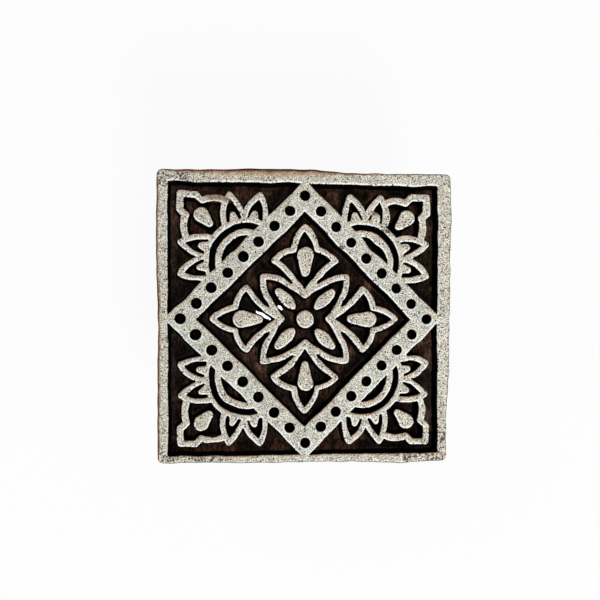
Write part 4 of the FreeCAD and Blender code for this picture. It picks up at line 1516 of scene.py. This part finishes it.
# %% Carved wood material
def side_tone(n, s):
    """Bare wood, with dark runs from the face downwards."""
    grain = n.use(GRAIN, Place=s.place, Ring_Gap=2.9)
    wear = n.use(WEAR, Place=s.place, Ridge=s.ridge, Amount=0.25)
    tone = n.blend(grain["Rings"], (0.17, 0.078, 0.036, 1), (0.06, 0.024, 0.012, 1))
    tone = n.shade(tone, n.between(grain["Fibres"], 0.3, 0.7, 0.6, 1.35))
    tone = n.blend(n.times(grain["Pores"], 0.7), tone, (0.018, 0.009, 0.006, 1))
    tone = n.blend(n.times(wear["Grime"], 0.6), tone, (0.022, 0.014, 0.01, 1))
    tone = n.blend(n.times(wear["Worn"], 0.4), tone, (0.34, 0.19, 0.1, 1))
    runs = n.noise(n.move("MULTIPLY", s.place, (1.0, 1.0, 0.12)), 2.4, 3.0, 0.6)
    soaked = n.plus(s.axes["Z"], n.times(n.less(runs, 0.5), 26.0))
    soaked = n.between(soaked, FACE - 13.0, FACE - 3.0)
    return n.blend(n.times(soaked, 0.9), tone, (0.01, 0.0065, 0.005, 1))


def carved_wood():
    material, n, shader = new_material("carved_wood_worn")
    s = Surface(n)
    pits, small = open_pores(n, s)
    top = with_bare_wood(n, s, chalk_tone(n, s, pits, small))
    ragged_height = n.plus(s.axes["Z"], n.times(n.less(s.fine, 0.5), 0.4))
    coated = n.between(ragged_height, FACE - 0.62, FACE - 0.25)
    colour = n.blend(coated, low_tone(n, s), top)
    colour = n.blend(n.between(s.from_side, 0.0, -0.3), colour, side_tone(n, s))
    n.fill(shader.inputs["Base Color"], colour)

    damp = n.between(n.noise(s.place, 3.0, 3.0, 0.6), 0.35, 0.65, 0.4, 0.7)
    n.fill(shader.inputs["Roughness"], n.between(coated, 0.0, 1.0, damp, 0.9))
    shader.inputs["Specular IOR Level"].default_value = 0.04
    n.fill(shader.inputs["Coat Weight"], n.between(s.oily, 0.1, 0.3))
    shader.inputs["Coat Roughness"].default_value = 0.05
    height = n.less(n.times(s.fine, 0.5), pits)
    height = n.times(height, n.between(s.oily, 0.0, 0.25, 1.0, 0.0))
    n.fill(shader.inputs["Normal"], n.bump(height, 0.12, 0.6))
    return material


block.data.materials.clear()
block.data.materials.append(carved_wood())
print("finish:", block.data.materials[0].name)

# %% [markdown]
# ## The grip's finish
#
# Sheesham is red-brown with nearly black rings. Years of hands have polished the lips of the bar
# and left grease, colour and dust in the coves. So the worn mask makes the wood lighter and
# smoother, and the grime mask makes it darker and duller.

# %% Grip wood
def grip_wood():
    material, n, shader = new_material("grip_wood_handled")
    place = n.place()
    grain = n.use(GRAIN, Place=place, Ring_Gap=2.3)
    wear = n.use(WEAR, Place=place, Ridge=n.noted("ridge"), Amount=0.35)
    colour = n.blend(grain["Rings"], (0.235, 0.105, 0.045, 1), (0.075, 0.028, 0.013, 1))
    colour = n.shade(colour, n.between(grain["Fibres"], 0.3, 0.7, 0.65, 1.3))
    colour = n.blend(n.times(grain["Pores"], 0.7), colour, (0.022, 0.01, 0.006, 1))
    colour = n.blend(n.times(wear["Grime"], 0.72), colour, (0.03, 0.017, 0.012, 1))
    colour = n.blend(n.times(wear["Worn"], 0.45), colour, (0.38, 0.2, 0.095, 1))
    smears = n.between(n.noise(n.move("MULTIPLY", place, (0.35, 1.0, 1.0)), 6.0, 4.0, 0.7), 0.6, 0.72)
    colour = n.blend(n.times(smears, 0.5), colour, (0.05, 0.012, 0.012, 1))
    dust = n.use(SPECKS, Place=place, Gap=2.4, Share=0.25, Size=0.14)["Mask"]
    colour = n.blend(n.times(dust, 0.5), colour, (0.55, 0.52, 0.46, 1))
    n.fill(shader.inputs["Base Color"], colour)
    dull = n.plus(n.between(wear["Grime"], 0.0, 1.0, 0.42, 0.66), n.times(dust, 0.2))
    n.fill(shader.inputs["Roughness"], n.between(wear["Worn"], 0.0, 1.0, dull, 0.3))
    shader.inputs["Specular IOR Level"].default_value = 0.4
    height = n.less(n.times(grain["Fibres"], 0.7), grain["Pores"])
    height = n.plus(height, n.times(grain["Rings"], 0.25))
    n.fill(shader.inputs["Normal"], n.bump(height, 0.15, 0.7))
    return material


grip.data.materials.clear()
grip.data.materials.append(grip_wood())
print("finish:", grip.data.materials[0].name)

# %% [markdown]
# ## The nails' finish
#
# The heads are plain iron. The hammer's face polished them once, and sweat has since rusted them
# from the rim inwards. Metallic goes to 0 where the rust is, because rust isn't a metal any more.

# %% Nail iron
def nail_iron():
    material, n, shader = new_material("nail_iron_rusted")
    place = n.place()
    wear = n.use(WEAR, Place=place, Ridge=n.noted("ridge"), Amount=0.2)
    clouds = n.noise(place, 1.4, detail=5.0, roughness=0.7)
    spots = n.use(SPECKS, Place=place, Gap=0.8, Share=0.55, Size=0.5)["Mask"]
    rust = n.calc("MAXIMUM", n.between(clouds, 0.42, 0.56), n.times(spots, 0.8))
    rust = n.times(rust, n.less(1.0, n.times(wear["Worn"], 0.7)))
    rust_tone = n.blend(n.between(clouds, 0.4, 0.7), (0.2, 0.075, 0.03, 1), (0.07, 0.027, 0.015, 1))
    colour = n.blend(rust, (0.3, 0.285, 0.27, 1), rust_tone)
    colour = n.blend(n.times(wear["Grime"], 0.5), colour, (0.03, 0.022, 0.018, 1))
    n.fill(shader.inputs["Base Color"], colour)
    n.fill(shader.inputs["Metallic"], n.between(rust, 0.1, 0.6, 1.0, 0.0))
    n.fill(shader.inputs["Roughness"], n.between(rust, 0.0, 0.7, 0.36, 0.88))
    height = n.plus(clouds, n.times(rust, 0.4))
    n.fill(shader.inputs["Normal"], n.bump(height, 0.1, 0.6))
    return material


rusted_iron = nail_iron()
for nail in nail_pieces:
    nail.data.materials.append(rusted_iron)
print("finish:", rusted_iron.name, "on", len(nail_pieces), "nails")

# %% [markdown]
# ## Floor and light
#
# The light is soft and plain: a large lamp halfway up in the south, where the photograph has it, a
# weak one from the other side and a pale world. The small lamp overhead adds almost no light. It is
# there so that the drops of oil have something to mirror. The floor and the world show their own
# white only to what is seen directly or in a mirror; what they send to the block is much less.

# %% The floor
SPAN = 3.0
FLOOR_WHITE = 0.92
floor_mesh = bpy.data.meshes.new("floor")
floor_corners = [(-SPAN, -SPAN, 0), (SPAN, -SPAN, 0), (SPAN, SPAN, 0), (-SPAN, SPAN, 0)]
floor_mesh.from_pydata(floor_corners, [], [(0, 1, 2, 3)])
floor = in_scene("floor", floor_mesh)
floor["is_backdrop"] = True


def seen_directly(n):
    """1 for what the camera, a mirror or a glass sees, 0 for what only lights the object."""
    path = n.add("ShaderNodeLightPath").outputs
    seen = n.calc("MAXIMUM", path["Is Camera Ray"], path["Is Glossy Ray"])
    return n.calc("MAXIMUM", seen, path["Is Transmission Ray"])


def floor_finish():
    material, n, shader = new_material("pale_floor")
    shader.inputs["Base Color"].default_value = (0.8, 0.8, 0.8, 1)
    shader.inputs["Roughness"].default_value = 0.9
    shader.inputs["Specular IOR Level"].default_value = 0.0
    glow = n.add("ShaderNodeEmission", Color=(1, 1, 1, 1), Strength=1.0)
    mixed = n.add("ShaderNodeMixShader")
    n.fill(mixed.inputs[0], n.times(seen_directly(n), FLOOR_WHITE))
    n.fill(mixed.inputs[1], shader.outputs[0])
    n.fill(mixed.inputs[2], glow.outputs[0])
    output = material.node_tree.nodes["Material Output"]
    n.fill(output.inputs["Surface"], mixed.outputs[0])
    return material


floor_mesh.materials.append(floor_finish())
print("floor:", 2 * SPAN, "m wide,", floor_mesh.materials[0].name)

# %% The world and the lamps
WORLD_LIGHT = 0.42
LAMP_AIM = Vector((0, 0, 0.05))
world = bpy.data.worlds.new("world")
bpy.context.scene.world = world
world.use_nodes = True
n = Nodes(world.node_tree)
heading = n.add("ShaderNodeTexCoord").outputs["Generated"]
upwards = n.add("ShaderNodeSeparateXYZ", Vector=heading).outputs["Z"]
shown = n.between(upwards, 0.25, 0.8, 1.0, 0.25)
strength = n.times(seen_directly(n), n.less(shown, WORLD_LIGHT))
background = world.node_tree.nodes["Background"]
n.fill(background.inputs["Strength"], n.plus(strength, WORLD_LIGHT))
background.inputs["Color"].default_value = (1, 1, 1, 1)


def add_lamp(name, where, size, watts):
    """A round lamp, size metres across, that looks at the block."""
    lamp_data = bpy.data.lights.new(name, "AREA")
    lamp_data.shape = "DISK"
    lamp_data.size = size
    lamp_data.energy = watts
    lamp = in_scene(name, lamp_data)
    lamp.location = where
    lamp.rotation_euler = (LAMP_AIM - lamp.location).to_track_quat("-Z", "Y").to_euler()


add_lamp("south_light", (0.25, -1.0, 0.95), size=0.5, watts=13.3)
add_lamp("fill_light", (-0.9, 0.8, 1.0), size=0.9, watts=4.2)
add_lamp("bulb", (0.042, 0.013, 1.05), size=0.07, watts=0.45)
bpy.context.scene.view_settings.view_transform = "Standard"
print("lamps:", [(lamp.name, round(lamp.energy, 2)) for lamp in bpy.data.lights])

# %% [markdown]
# ## Is it still the same size?
#
# The finished pieces are measured once more and printed, to be read beside the box printed at the
# start. The real block isn't quite square, so the pieces may stand out from the packed model by a
# millimetre or two, but by no more. A piece in the wrong place or in the wrong unit would show up
# here at once.

# %% The end
low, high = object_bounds()
print("now:", [round(v / MM, 2) for v in (*low, *high)], "mm")
